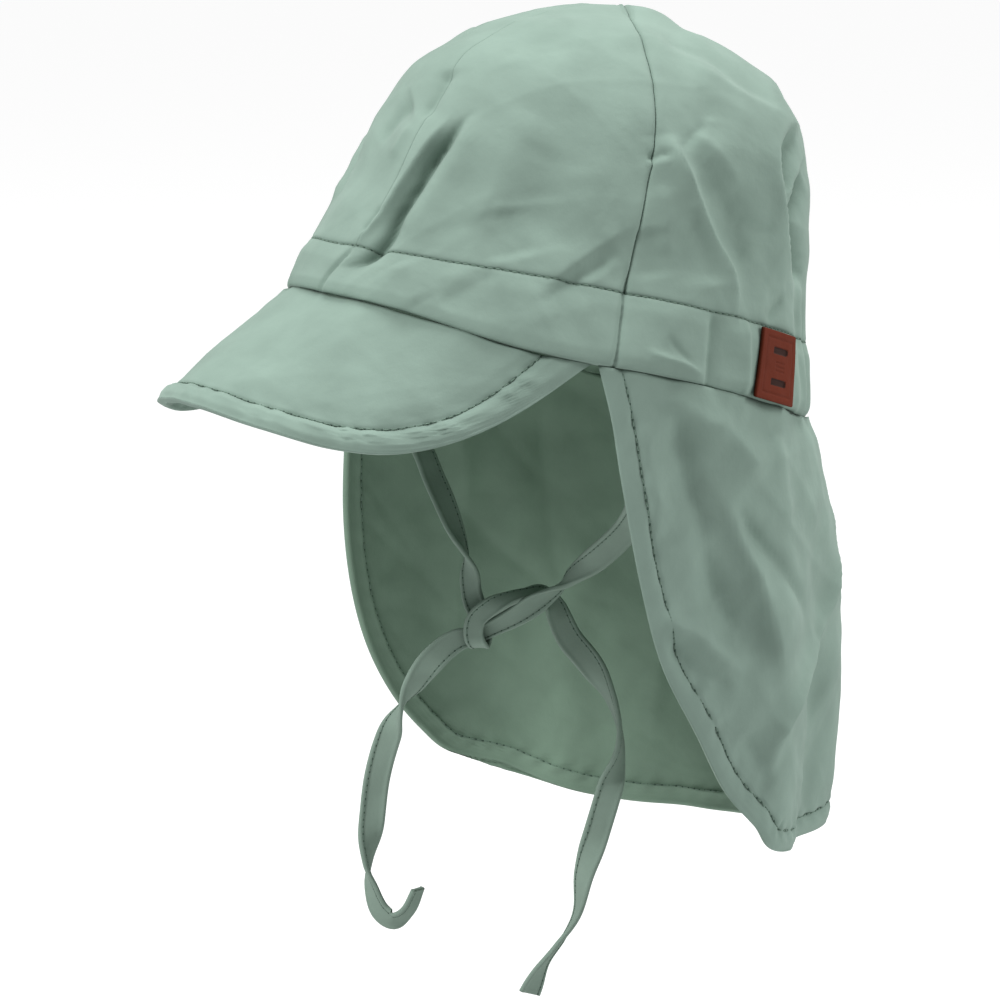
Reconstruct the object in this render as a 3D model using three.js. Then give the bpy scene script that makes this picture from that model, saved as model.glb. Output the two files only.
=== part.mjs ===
// A child's cotton sun cap with a soft peak, a neck flap and two ties in a half knot, held as it is worn.
// Millimetres, +Z up, the front of the cap faces -Y and the wearer's left is +X.
// The origin is the middle of the ring where the band sits on the head.
import * as THREE from "three";

// Driving dimensions
const ringWidth = 145;
const ringLength = 174;
const wearTilt = 16.9;
const crownHeight = 105;
const crownLean = 4;
const bandHeight = 21.5;
const bandFront = 14.5;
const bandWall = 2.2;
const bandPuff = 0.9;
const sagDepth = 3;
const sagTurn = 56;
const sagWidth = 22;
const clothWall = 1.2;
const seamGap = 0.35;
const restGap = 0.4;
const foldDepth = 5;
const foldWidth = 10;
const gatherDepth = 0.9;
const gatherCount = 24;
const peakReach = 53;
const peakSpan = 134.5;
const peakWall = 3.4;
const peakEdge = 2.2;
const peakSlope = 47.4;
const peakSideSlope = 26;
const peakArch = 0.92;
const peakRound = 5;
const peakTaper = 1.35;
const peakCorner = 0.96;
const flapDrop = 135;
const flapBackDrop = 11;
const flapBackLean = 1.35;
const flapSpan = 223;
const flapFlare = 7;
const flapSway = 5;
const hemWidth = 8;
const hemWall = 2;
const flapWave = 2.4;
const tieWidth = 8;
const tieWall = 1.1;
const labelWidth = 19;
const labelHeight = 20.5;
const labelWall = 1.2;
const labelAngle = 112.8;
const labelLean = 3.2;

// Crown outline from the band's lower edge to the top: height as a share of crownHeight, how far the
// wall stands from the middle in front and behind as shares of the ring's half size, and where the
// front and side seams run there, as turns from the front in degrees towards the wearer's left
const crownSections = [
  { height: 0.0, front: 1, back: 1, frontSeam: 2.2, sideSeam: 72 },
  { height: 0.12, front: 0.95, back: 0.962, frontSeam: 6.5, sideSeam: 72 },
  { height: 0.22, front: 0.905, back: 0.925, frontSeam: 9, sideSeam: 72 },
  { height: 0.34, front: 0.85, back: 0.886, frontSeam: 9.8, sideSeam: 72.5 },
  { height: 0.48, front: 0.81, back: 0.853, frontSeam: 10.8, sideSeam: 73 },
  { height: 0.6, front: 0.758, back: 0.833, frontSeam: 9.5, sideSeam: 73.5 },
  { height: 0.69, front: 0.694, back: 0.795, frontSeam: 8, sideSeam: 73 },
  { height: 0.78, front: 0.589, back: 0.75, frontSeam: 6, sideSeam: 72 },
  { height: 0.86, front: 0.46, back: 0.66, frontSeam: 4, sideSeam: 70 },
  { height: 0.925, front: 0.316, back: 0.485, frontSeam: 3, sideSeam: 67 },
  { height: 0.975, front: 0.163, back: 0.212, frontSeam: 3, sideSeam: 64 },
  { height: 1.0, front: 0.03, back: 0.03, frontSeam: 3, sideSeam: 62 },
];

// Folds and swells of the crown: each runs from one place to another, a place being a turn from the
// front in degrees and a share of crownHeight; wide and deep are shares of foldWidth and foldDepth
const crownFolds = [
  { fromTurn: 13, fromHeight: 0.16, toTurn: 15, toHeight: 0.32, wide: 0.55, deep: -1.0 },
  { fromTurn: 16, fromHeight: 0.34, toTurn: 24, toHeight: 0.56, wide: 0.6, deep: -0.8 },
  { fromTurn: 7, fromHeight: 0.2, toTurn: 12, toHeight: 0.5, wide: 0.6, deep: 0.35 },
  { fromTurn: 36, fromHeight: 0.25, toTurn: 45, toHeight: 0.66, wide: 1.2, deep: 0.45 },
  { fromTurn: 52, fromHeight: 0.27, toTurn: 54, toHeight: 0.55, wide: 1.2, deep: -0.4 },
  { fromTurn: 58, fromHeight: 0.19, toTurn: 69, toHeight: 0.24, wide: 0.5, deep: -0.7 },
  { fromTurn: 77, fromHeight: 0.59, toTurn: 100, toHeight: 0.25, wide: 0.5, deep: 0.4 },
  { fromTurn: 77, fromHeight: 0.44, toTurn: 90, toHeight: 0.26, wide: 0.9, deep: -0.45 },
  { fromTurn: 120, fromHeight: 0.62, toTurn: 115, toHeight: 0.47, wide: 0.6, deep: 0.45 },
  { fromTurn: 115, fromHeight: 0.47, toTurn: 124, toHeight: 0.34, wide: 0.6, deep: 0.45 },
  { fromTurn: 140, fromHeight: 0.68, toTurn: 129, toHeight: 0.5, wide: 0.85, deep: -1.1 },
  { fromTurn: 128, fromHeight: 0.48, toTurn: 138, toHeight: 0.3, wide: 0.85, deep: -1.3 },
  { fromTurn: -20, fromHeight: 0.3, toTurn: -44, toHeight: 0.78, wide: 0.9, deep: -0.7 },
  { fromTurn: -62, fromHeight: 0.3, toTurn: -58, toHeight: 0.64, wide: 1.1, deep: -0.4 },
  { fromTurn: -108, fromHeight: 0.28, toTurn: -112, toHeight: 0.66, wide: 0.8, deep: -0.6 },
  { fromTurn: 170, fromHeight: 0.27, toTurn: 163, toHeight: 0.6, wide: 0.8, deep: -0.6 },
  { fromTurn: -150, fromHeight: 0.28, toTurn: -146, toHeight: 0.55, wide: 0.8, deep: -0.7 },
];

// Crown panels from seam to seam; a seam on the wearer's right mirrors the left one
const crownPanels = [
  { name: "crown_front_left", from: "front", to: "left" },
  { name: "crown_back_left", from: "left", to: "back" },
  { name: "crown_back_right", from: "back", to: "right" },
  { name: "crown_front_right", from: "right", to: "frontAgain" },
];

// Free edges of the neck flap: share of the drop, and how far each edge has turned in from the flap's
// front corner towards the back, as a share of half the flap's span
const flapEdge = [
  { drop: 0, left: 0, right: 0 },
  { drop: 0.1, left: 0.025, right: 0.019 },
  { drop: 0.2, left: 0.041, right: 0.036 },
  { drop: 0.4, left: 0.078, right: 0.051 },
  { drop: 0.56, left: 0.1225, right: 0.08 },
  { drop: 0.7, left: 0.196, right: 0.1235 },
  { drop: 0.82, left: 0.262, right: 0.1835 },
  { drop: 0.91, left: 0.336, right: 0.249 },
  { drop: 0.97, left: 0.38, right: 0.3075 },
  { drop: 1, left: 0.471, right: 0.404 },
];

// Hanging folds of the neck flap: turn from the front in degrees, where it starts as a share of the
// drop, and how wide and deep it is as shares of foldWidth and foldDepth
const flapFolds = [
  { turn: 146, start: -0.1, wide: 2.4, deep: 0.65 },
  { turn: 143, start: 0.75, wide: 2.6, deep: -0.55 },
  { turn: 150, start: 0.35, wide: 1.2, deep: 0.5 },
  { turn: 132, start: 0.3, wide: 1.0, deep: -0.8 },
  { turn: 112, start: 0.2, wide: 1.3, deep: 0.6 },
  { turn: 178, start: 0.3, wide: 1.4, deep: -0.8 },
  { turn: 205, start: 0.3, wide: 1.3, deep: 0.7 },
  { turn: 232, start: 0.3, wide: 1.3, deep: -0.6 },
  { turn: 258, start: 0.35, wide: 1.2, deep: 0.4 },
];

// The knot lies in front of the throat. Its places are in tie widths from its middle: across to the
// right of someone who looks at it, up, and towards that person, who stands to the wearer's left
const knotSide = 55;
const knotForward = 0.2;
const knotDrop = 0.593;

// Routes of the two ties. A row gives x and y as shares of the ring's half size and z as a share of
// flapDrop, or else across, up and near in the knot's own frame. wide says which way the strap's width
// runs, in the knot's frame: across, up and near. squeeze is its width as a share of tieWidth
const nearTie = [
  { x: 0.93, y: -0.19, z: -0.01, wide: [0.94, 0, -0.34], squeeze: 1 },
  { x: 0.94, y: -0.19, z: -0.2, wide: [0.94, 0, -0.34], squeeze: 1 },
  { across: 4.63, up: 4.19, near: 3.2, wide: [0.8, -0.6, 0], squeeze: 1 },
  { across: 3.52, up: 2.74, near: 1.7, wide: [0.7, -0.7, 0.1], squeeze: 1 },
  { across: 2.67, up: 1.93, near: 0.9, wide: [0.45, -0.45, 0.77], squeeze: 0.9 },
  { across: 2.04, up: 1.15, near: 0.5, wide: [0.1, -0.1, 1], squeeze: 0.8 },
  { across: 1.3, up: 0.56, near: 0.35, wide: [-0.4, 0.5, 0.77], squeeze: 0.75 },
  { across: 0.55, up: 0.07, near: 0.2, wide: [-0.5, 0.6, 0.6], squeeze: 0.75 },
  { across: -0.37, up: -0.37, near: 0.05, wide: [-0.5, 0.7, 0.5], squeeze: 0.75 },
  { across: -1.11, up: -0.59, near: 0, wide: [-0.4, 0.8, 0.3], squeeze: 0.8 },
  { across: -1.78, up: -0.81, near: 0, wide: [-0.5, 0.85, 0], squeeze: 0.9 },
  { across: -2.63, up: -1.52, near: 0.1, wide: [-0.66, 0.75, 0], squeeze: 1 },
  { across: -3.33, up: -2.52, near: -0.1, wide: [-0.7, 0.4, 0.6], squeeze: 1 },
  { across: -3.77, up: -3.45, near: -0.4, wide: [0, 0, 1], squeeze: 1 },
  { across: -4.3, up: -4.65, near: -0.7, wide: [0.9, -0.3, 0.3], squeeze: 1 },
  { across: -4.75, up: -6.31, near: -1, wide: [1, -0.1, 0], squeeze: 1 },
  { across: -4.97, up: -8.05, near: -1.1, wide: [1, -0.1, -0.1], squeeze: 1 },
  { across: -5.14, up: -9.75, near: -1.1, wide: [0.2, 0, -0.98], squeeze: 1 },
  { across: -5.0, up: -10.65, near: -1, wide: [-0.5, 0.1, -0.85], squeeze: 1 },
  { across: -4.65, up: -11.6, near: -0.9, wide: [-0.55, -0.6, -0.55], squeeze: 1 },
  { across: -4.15, up: -11.9, near: -0.75, wide: [-0.1, -0.8, -0.55], squeeze: 1 },
  { across: -3.66, up: -11.4, near: -0.6, wide: [0.5, -0.35, -0.8], squeeze: 0.9 },
  { across: -3.35, up: -10.6, near: -0.5, wide: [0.5, 0, -0.87], squeeze: 0.9 },
];
const farTie = [
  { x: -0.93, y: -0.19, z: -0.01, wide: [0.64, 0, -0.77], squeeze: 1 },
  { x: -0.86, y: -0.24, z: -0.12, wide: [0.64, 0.1, -0.76], squeeze: 1 },
  { across: -3.1, up: 6.1, near: -3.2, wide: [0.65, 0.2, -0.73], squeeze: 1 },
  { across: -2.6, up: 5.07, near: -2.4, wide: [0.65, 0.3, -0.7], squeeze: 1 },
  { across: -2.2, up: 4.26, near: -1.8, wide: [0.65, 0.3, -0.7], squeeze: 1 },
  { across: -1.78, up: 3.3, near: -1.2, wide: [0.5, 0.2, -0.84], squeeze: 1 },
  { across: -1.37, up: 2.37, near: -0.8, wide: [0, 0, -1], squeeze: 1 },
  { across: -1.22, up: 1.63, near: -0.6, wide: [-0.7, 0, -0.7], squeeze: 1 },
  { across: -1.15, up: 1.0, near: -0.5, wide: [-0.85, 0, -0.5], squeeze: 0.9 },
  { across: -1.0, up: 0.45, near: -0.42, wide: [-1, 0, 0], squeeze: 0.8 },
  { across: -0.8, up: -0.1, near: -0.4, wide: [-1, 0, 0], squeeze: 0.7 },
  { across: -0.7, up: -0.75, near: -0.38, wide: [-1, 0, 0], squeeze: 0.7 },
  { across: -0.8, up: -1.22, near: 0, wide: [-1, 0, 0], squeeze: 0.7 },
  { across: -1.0, up: -0.85, near: 0.4, wide: [-1, 0, 0], squeeze: 0.75 },
  { across: -1.07, up: -0.37, near: 0.45, wide: [-1, 0.1, 0], squeeze: 0.75 },
  { across: -0.96, up: 0.15, near: 0.48, wide: [-0.9, 0.4, 0], squeeze: 0.75 },
  { across: -0.52, up: 0.56, near: 0.46, wide: [-0.6, 0.75, 0], squeeze: 0.75 },
  { across: 0.2, up: 0.87, near: 0.3, wide: [-0.2, 0.9, -0.3], squeeze: 0.7 },
  { across: 0.93, up: 1.05, near: 0, wide: [0, 0.5, -0.85], squeeze: 0.7 },
  { across: 1.55, up: 0.95, near: -0.4, wide: [0.2, 0.6, -0.75], squeeze: 0.75 },
  { across: 1.96, up: 0.5, near: -0.5, wide: [0.6, 0.6, -0.5], squeeze: 0.85 },
  { across: 2.2, up: -0.05, near: -0.4, wide: [0.9, 0.4, 0], squeeze: 0.95 },
  { across: 2.55, up: -0.74, near: -0.2, wide: [0.9, 0.4, 0], squeeze: 1 },
  { across: 3.3, up: -1.6, near: 0.2, wide: [0.7, 0.7, 0.1], squeeze: 1 },
  { across: 4.04, up: -2.75, near: 0.5, wide: [0.4, 0.2, 0.9], squeeze: 1 },
  { across: 4.4, up: -4.0, near: 0.8, wide: [0, 0, 1], squeeze: 1 },
  { across: 4.4, up: -4.95, near: 1, wide: [-0.4, 0, 0.9], squeeze: 1 },
  { across: 4.0, up: -6.4, near: 1.2, wide: [-1, -0.2, 0], squeeze: 1 },
  { across: 3.55, up: -7.9, near: 1.4, wide: [-1, -0.2, 0], squeeze: 1 },
  { across: 3.1, up: -9.4, near: 1.5, wide: [-0.7, -0.1, -0.7], squeeze: 1 },
  { across: 2.8, up: -11, near: 1.5, wide: [-0.1, 0, -1], squeeze: 1 },
  { across: 2.2, up: -12.1, near: 1.5, wide: [0.4, 0.2, -0.9], squeeze: 1 },
  { across: 1.5, up: -13.1, near: 1.5, wide: [0.6, 0.3, -0.7], squeeze: 1 },
  { across: 1.05, up: -14.1, near: 1.5, wide: [0.85, 0.35, -0.4], squeeze: 1 },
];

// Materials
const cloth = { color: 0x9db5a4, roughness: 0.85, metalness: 0 };
const leather = { color: 0x7d3e28, roughness: 0.55, metalness: 0 };

const turnToRadians = THREE.MathUtils.degToRad;
const tilt = turnToRadians(wearTilt);

// A point of the cap's own frame, whose height stands square on the ring, in the part's frame
function worn(x, y, height) {
  const back = y * Math.cos(tilt) + height * Math.sin(tilt);
  const up = height * Math.cos(tilt) - y * Math.sin(tilt);
  return new THREE.Vector3(x, back, up);
}

// A smooth curve through one column of a table, at a share of the way through its rows
function column(rows, name, share, pick = (row) => row[name]) {
  const last = rows.length - 1;
  const place = THREE.MathUtils.clamp(share, 0, 1) * last;
  const at = Math.min(Math.floor(place), last - 1);
  const values = [at - 1, at, at + 1, at + 2].map((i) => pick(rows[THREE.MathUtils.clamp(i, 0, last)]));
  const [before, start, end, after] = values;
  const t = place - at;
  const slopeStart = (end - before) / 2;
  const slopeEnd = (after - start) / 2;
  const bend = 2 * (start - end) + slopeStart + slopeEnd;
  const lean = 3 * (end - start) - 2 * slopeStart - slopeEnd;
  return ((bend * t + lean) * t + slopeStart) * t + start;
}

// The share of the way through a table at which a rising column reaches a value
function shareAt(rows, name, value) {
  let low = 0;
  let high = 1;
  for (let step = 0; step < 40; step += 1) {
    const middle = (low + high) / 2;
    if (column(rows, name, middle) < value) low = middle;
    else high = middle;
  }
  return low;
}

const bell = (distance, width) => Math.exp(-((distance / width) ** 2));

// How far a crown fold pushes the cloth out at a place
function foldPush(turn, height, radius) {
  let push = 0;
  for (const fold of crownFolds) {
    const wrap = (angle) => turnToRadians(THREE.MathUtils.euclideanModulo(angle + 180, 360) - 180) * radius;
    const run = wrap(fold.toTurn - fold.fromTurn);
    const rise = (fold.toHeight - fold.fromHeight) * crownHeight;
    const across = wrap(turn - fold.fromTurn);
    const up = (height - fold.fromHeight) * crownHeight;
    const along = THREE.MathUtils.clamp((across * run + up * rise) / (run * run + rise * rise), 0, 1);
    const away = Math.hypot(across - along * run, up - along * rise);
    push += fold.deep * foldDepth * bell(away, fold.wide * foldWidth);
  }
  return push;
}

// How high the band stands at a turn: lower at the front, where the peak pulls it down
function bandTop(turn) {
  const ahead = ((1 + Math.cos(turnToRadians(turn))) / 2) ** 3;
  return bandHeight - (bandHeight - bandFront) * ahead;
}

// How far the band's lower edge hangs below its ring where the peak's corners pull it down
function bandSag(turn) {
  const around = Math.abs(THREE.MathUtils.euclideanModulo(turn + 180, 360) - 180);
  return sagDepth * bell(around - sagTurn, sagWidth);
}

// How strongly the elastic behind gathers the band, fading out towards the ears
const gatherStrength = (turn) => THREE.MathUtils.smoothstep(-Math.cos(turnToRadians(turn)), 0.42, 0.75);

// How far a gather of the band stands out
function gather(turn) {
  return gatherDepth * gatherStrength(turn) * Math.sin(turnToRadians(turn) * gatherCount);
}

// A point of the cap's outer wall; share runs through crownSections
function wall(turn, share, folded = 1) {
  const angle = turnToRadians(turn);
  const behind = (1 - Math.cos(angle)) / 2;
  const height = column(crownSections, "height", share);
  const front = column(crownSections, "front", share);
  const back = column(crownSections, "back", share);
  const reach = front + (back - front) * behind;
  const radius = (reach * (ringWidth + ringLength)) / 4;
  const push = folded * foldPush(turn, height, Math.max(radius, foldWidth));
  const x = (ringWidth / 2) * reach * Math.sin(angle);
  const y = (-ringLength / 2) * reach * Math.cos(angle);
  const scale = 1 + push / Math.max(radius, foldWidth);
  return new THREE.Vector3(x * scale, y * scale - crownLean * height, height * crownHeight);
}

// The crown's outward direction at a place, the same on both sides of a seam
function wallNormal(turn, share) {
  const step = 0.01;
  const across = wall(turn + 1, share).sub(wall(turn - 1, share));
  const up = wall(turn, Math.min(share + step, 1)).sub(wall(turn, Math.max(share - step, 0)));
  return across.cross(up).normalize();
}

// A closed solid between two grids of points that face each other, both with the same rows and
// columns; a ring closes on itself along its columns
function shell(outer, inner, ring = false) {
  const rows = outer.length;
  const columns = outer[0].length;
  const points = [...outer.flat(), ...inner.flat()];
  const positions = new Float32Array(points.flatMap((p) => [p.x, p.y, p.z]));
  const faces = [];
  const quad = (a, b, c, d) => faces.push(a, b, c, a, c, d);
  const front = (row, col) => row * columns + (col % columns);
  const rear = (row, col) => rows * columns + front(row, col);
  const steps = ring ? columns : columns - 1;
  for (let row = 0; row < rows - 1; row += 1) {
    for (let col = 0; col < steps; col += 1) {
      quad(front(row, col), front(row, col + 1), front(row + 1, col + 1), front(row + 1, col));
      quad(rear(row, col), rear(row + 1, col), rear(row + 1, col + 1), rear(row, col + 1));
    }
  }
  for (let col = 0; col < steps; col += 1) {
    quad(front(0, col + 1), front(0, col), rear(0, col), rear(0, col + 1));
    quad(front(rows - 1, col), front(rows - 1, col + 1), rear(rows - 1, col + 1), rear(rows - 1, col));
  }
  for (let row = 0; row < rows - 1 && !ring; row += 1) {
    quad(front(row, 0), front(row + 1, 0), rear(row + 1, 0), rear(row, 0));
    quad(front(row + 1, steps), front(row, steps), rear(row, steps), rear(row + 1, steps));
  }
  const geometry = new THREE.BufferGeometry();
  geometry.setAttribute("position", new THREE.BufferAttribute(positions, 3));
  geometry.setIndex(faces);
  const shape = geometry.toNonIndexed();
  shape.computeVertexNormals();
  return shape;
}

// The outward direction of a grid at each of its points
function gridNormals(grid) {
  const last = grid.length - 1;
  return grid.map((line, row) =>
    line.map((_, col) => {
      const across = line[Math.min(col + 1, line.length - 1)].clone().sub(line[Math.max(col - 1, 0)]);
      const up = grid[Math.min(row + 1, last)][col].clone().sub(grid[Math.max(row - 1, 0)][col]);
      return across.cross(up).normalize();
    }),
  );
}

// A cloth wall below or inside a grid of outer points, as thick as its thickness rule says; a
// hanging wall is measured level, so that its top stays under what it hangs from
function clothSolid(grid, thickness, hanging = false) {
  const normals = gridNormals(grid);
  if (hanging) normals.flat().forEach((normal) => normal.setZ(0).normalize());
  const inner = grid.map((line, row) =>
    line.map((point, col) => point.clone().addScaledVector(normals[row][col], -thickness(row, col))),
  );
  return shell(grid, inner);
}

const spread = (count, from, to) => Array.from({ length: count + 1 }, (_, i) => from + ((to - from) * i) / count);
const toWorn = (grid) => grid.map((line) => line.map((p) => worn(p.x, p.y, p.z)));

// The turn of a seam at a share of the way up the crown
function seamTurn(seam, share) {
  const front = column(crownSections, "frontSeam", share);
  const side = column(crownSections, "sideSeam", share);
  return { front, left: side, back: 180, right: 360 - side, frontAgain: 360 + front }[seam];
}

function crownPanel({ from, to }) {
  const across = spread(15, 0, 1);
  const mix = (low, high, share) => low + (high - low) * share;
  const bandShare = shareAt(crownSections, "height", bandHeight / crownHeight);
  const layer = (depth) =>
    spread(14, 0, 1).map((rise) =>
      across.map((part) => {
        const rootTurn = mix(seamTurn(from, bandShare), seamTurn(to, bandShare), part);
        const base = bandTop(rootTurn) + restGap;
        const share = mix(shareAt(crownSections, "height", base / crownHeight), 1, rise);
        const radius = (column(crownSections, "front", share) * ringWidth) / 2;
        const half = THREE.MathUtils.radToDeg(seamGap / 2 / radius);
        const turn = mix(seamTurn(from, share) + half, seamTurn(to, share) - half, part);
        const point = wall(turn, share).addScaledVector(wallNormal(turn, share), -depth);
        point.z = Math.max(point.z, bandTop(turn) + restGap);
        return point;
      }),
    );
  return shell(toWorn(layer(0)), toWorn(layer(clothWall)));
}

function band() {
  const rises = [0, 0.2, 0.8, 1];
  const puff = [0, bandPuff, bandPuff, 0];
  const turns = spread(96, 0, 360).slice(0, -1);
  const line = (inside) => (rise, row) =>
    turns.map((turn) => {
      const share = shareAt(crownSections, "height", (rise * bandTop(turn)) / crownHeight);
      const point = wall(turn, share, 0);
      const out = 1 + ((inside ? -bandWall : puff[row]) + gather(turn)) / Math.hypot(point.x, point.y);
      return new THREE.Vector3(point.x * out, point.y * out, point.z - bandSag(turn) * (1 - rise));
    });
  return shell(toWorn(rises.map(line(false))), toWorn(rises.map(line(true))), true);
}

// A point of the peak: side runs from -1 at the wearer's right corner to 1 at the left one, and out
// from 0 at the band to 1 at the free edge
function peakPoint(side, out) {
  const turn = (side * peakSpan) / 2;
  const root = wall(turn, 0, 0).multiplyScalar(1 - bandWall / ringWidth);
  const reach = peakReach * out * (1 - Math.abs(side) ** peakRound) ** peakTaper;
  const slope = turnToRadians(peakSlope + peakSideSlope * side * side);
  const away = turnToRadians(turn) * (1 - peakArch);
  const drop = Math.sin(slope) * reach;
  const run = Math.cos(slope) * reach;
  const height = -restGap - bandSag(turn) - drop;
  return new THREE.Vector3(root.x + run * Math.sin(away), root.y - run * Math.cos(away), height);
}

function peak() {
  const outs = [0, 0.2, 0.45, 0.7, 0.86, 0.95, 1];
  const sides = spread(34, -peakCorner, peakCorner);
  const grid = outs.map((out) => sides.map((side) => peakPoint(side, out)));
  const flipped = toWorn(grid).map((line) => line.reverse());
  const thickness = (row) => (row === 0 ? peakEdge : row === outs.length - 1 ? peakEdge / 2 : peakWall);
  return clothSolid(flipped, thickness);
}

// A point of the neck flap, in the part's frame: side runs from -1 to 1 between its two free edges,
// and down from 0 at the band to 1 at the hem
function flapPoint(side, down) {
  const place = shareAt(flapEdge, "drop", down);
  const half = (flapSpan / 2) * (1 - column(flapEdge, side > 0 ? "left" : "right", place));
  const turn = 180 - side * half;
  const angle = turnToRadians(turn);
  const root = wall(turn, 0, 0).multiplyScalar(1 - bandWall / ringWidth);
  const top = worn(root.x, root.y, -restGap - bandSag(turn));
  const behind = (1 - side * side) * Math.max(0.85 - flapBackLean * side, 0.15);
  const bottom = -flapDrop - Math.sin(tilt) * (ringLength / 4) - flapBackDrop * behind;
  let out = flapFlare * Math.sin(Math.PI * Math.min(down * 0.72, 1));
  out += flapWave * down * Math.sin(3 * angle);
  for (const fold of flapFolds) {
    const away = turnToRadians(turn - fold.turn) * (ringLength / 2);
    const grown = THREE.MathUtils.smoothstep(down, fold.start * 0.5, fold.start + 0.3);
    out += fold.deep * foldDepth * grown * bell(away, fold.wide * foldWidth);
  }
  const away = new THREE.Vector2(top.x, top.y).normalize().multiplyScalar(out);
  return new THREE.Vector3(top.x + away.x - flapSway * down, top.y + away.y, top.z + (bottom - top.z) * down);
}

function neckFlap() {
  const hemStart = 1 - hemWidth / flapDrop;
  const downs = [0, 0.1, 0.2, 0.3, 0.42, 0.54, 0.64, 0.73, 0.81, 0.88, hemStart, 0.98, 1].reverse();
  const sides = spread(32, -1, 1);
  const grid = downs.map((down) => sides.map((side) => flapPoint(side, down)));
  const inHem = (row, col) => downs[row] >= hemStart || col === 0 || col === sides.length - 1;
  return clothSolid(grid, (row, col) => (inHem(row, col) ? hemWall : clothWall), true);
}

const knotMiddle = new THREE.Vector3(0, -knotForward * (ringLength / 2), -knotDrop * flapDrop);
const viewAngle = turnToRadians(knotSide);
const knotAcross = new THREE.Vector3(Math.cos(viewAngle), Math.sin(viewAngle), 0);
const knotNear = new THREE.Vector3(Math.sin(viewAngle), -Math.cos(viewAngle), 0);

function tiePlace(row) {
  if (row.across === undefined) {
    return new THREE.Vector3((row.x * ringWidth) / 2, (row.y * ringLength) / 2, row.z * flapDrop);
  }
  const place = knotMiddle.clone();
  place.addScaledVector(knotAcross, row.across * tieWidth);
  place.addScaledVector(knotNear, row.near * tieWidth);
  place.z += row.up * tieWidth;
  return place;
}

// A flat strap along a route, with four corners at each step
function strap(rows) {
  const curve = new THREE.CatmullRomCurve3(rows.map(tiePlace), false, "centripetal");
  const steps = spread((rows.length - 1) * 3, 0, 1);
  const sections = steps.map((share) => {
    const centre = curve.getPoint(share);
    const along = curve.getTangent(share).normalize();
    const [across, up, near] = [0, 1, 2].map((i) => column(rows, "wide", share, (row) => row.wide[i]));
    const side = knotAcross.clone().multiplyScalar(across).addScaledVector(knotNear, near);
    side.z += up;
    side.addScaledVector(along, -side.dot(along)).normalize();
    const face = along.clone().cross(side);
    const half = (column(rows, "squeeze", share) * tieWidth) / 2;
    const corners = [[half, 1], [-half, 1], [-half, -1], [half, -1]];
    return corners.map(([wide, thick]) =>
      centre.clone().addScaledVector(side, wide).addScaledVector(face, (thick * tieWall) / 2),
    );
  });
  return shell(
    sections.map(([a, b]) => [a, b]),
    sections.map(([, , c, d]) => [d, c]),
  );
}

// The leather patch follows the band's curve with a small clearance
function label() {
  const radius = (ringLength + ringWidth) / 4;
  const half = THREE.MathUtils.radToDeg(labelWidth / 2 / radius);
  const low = (bandHeight - labelHeight) / 4;
  const clearance = restGap + bandPuff + gatherDepth * gatherStrength(labelAngle + half);
  const grid = spread(3, 0, 1).map((rise) => {
    const share = shareAt(crownSections, "height", (low + labelHeight * rise) / crownHeight);
    const middle = labelAngle + labelLean * (rise - 0.5);
    return spread(6, middle - half, middle + half).map((turn) => {
      const point = wall(turn, share, 0);
      const out = 1 + (clearance + labelWall) / Math.hypot(point.x, point.y);
      return new THREE.Vector3(point.x * out, point.y * out, point.z);
    });
  });
  return clothSolid(toWorn(grid), () => labelWall);
}

function piece(name, geometry, finish) {
  const mesh = new THREE.Mesh(geometry, new THREE.MeshStandardMaterial(finish));
  mesh.name = name;
  return mesh;
}

const cap = new THREE.Group();
for (const panel of crownPanels) cap.add(piece(panel.name, crownPanel(panel), cloth));
cap.add(piece("band", band(), cloth));
cap.add(piece("peak", peak(), cloth));
cap.add(piece("neck_flap", neckFlap(), cloth));
cap.add(piece("tie_left", strap(nearTie), cloth));
cap.add(piece("tie_right", strap(farTie), cloth));
cap.add(piece("label_patch", label(), leather));

export default cap;
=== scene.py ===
# The looks of a child's sun cap with a soft peak, a neck flap and two tied tapes.
# Lengths are in millimetres in the cap's frame until a mesh is made; +Z is up, the front faces -Y.
import math

import bpy
import numpy as np
from mathutils import Matrix, Vector


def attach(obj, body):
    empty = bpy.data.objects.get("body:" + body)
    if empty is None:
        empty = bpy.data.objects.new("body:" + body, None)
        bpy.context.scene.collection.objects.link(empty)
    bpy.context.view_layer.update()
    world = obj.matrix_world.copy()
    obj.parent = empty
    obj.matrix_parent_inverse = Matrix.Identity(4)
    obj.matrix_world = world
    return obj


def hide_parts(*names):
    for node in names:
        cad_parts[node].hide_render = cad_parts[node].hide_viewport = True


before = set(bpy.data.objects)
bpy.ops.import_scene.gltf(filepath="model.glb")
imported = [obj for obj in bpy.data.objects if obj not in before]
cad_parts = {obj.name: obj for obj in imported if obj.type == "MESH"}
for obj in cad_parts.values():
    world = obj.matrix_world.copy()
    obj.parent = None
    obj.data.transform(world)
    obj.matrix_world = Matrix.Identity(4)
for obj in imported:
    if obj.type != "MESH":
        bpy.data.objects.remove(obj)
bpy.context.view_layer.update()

METRES = 0.001

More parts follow.
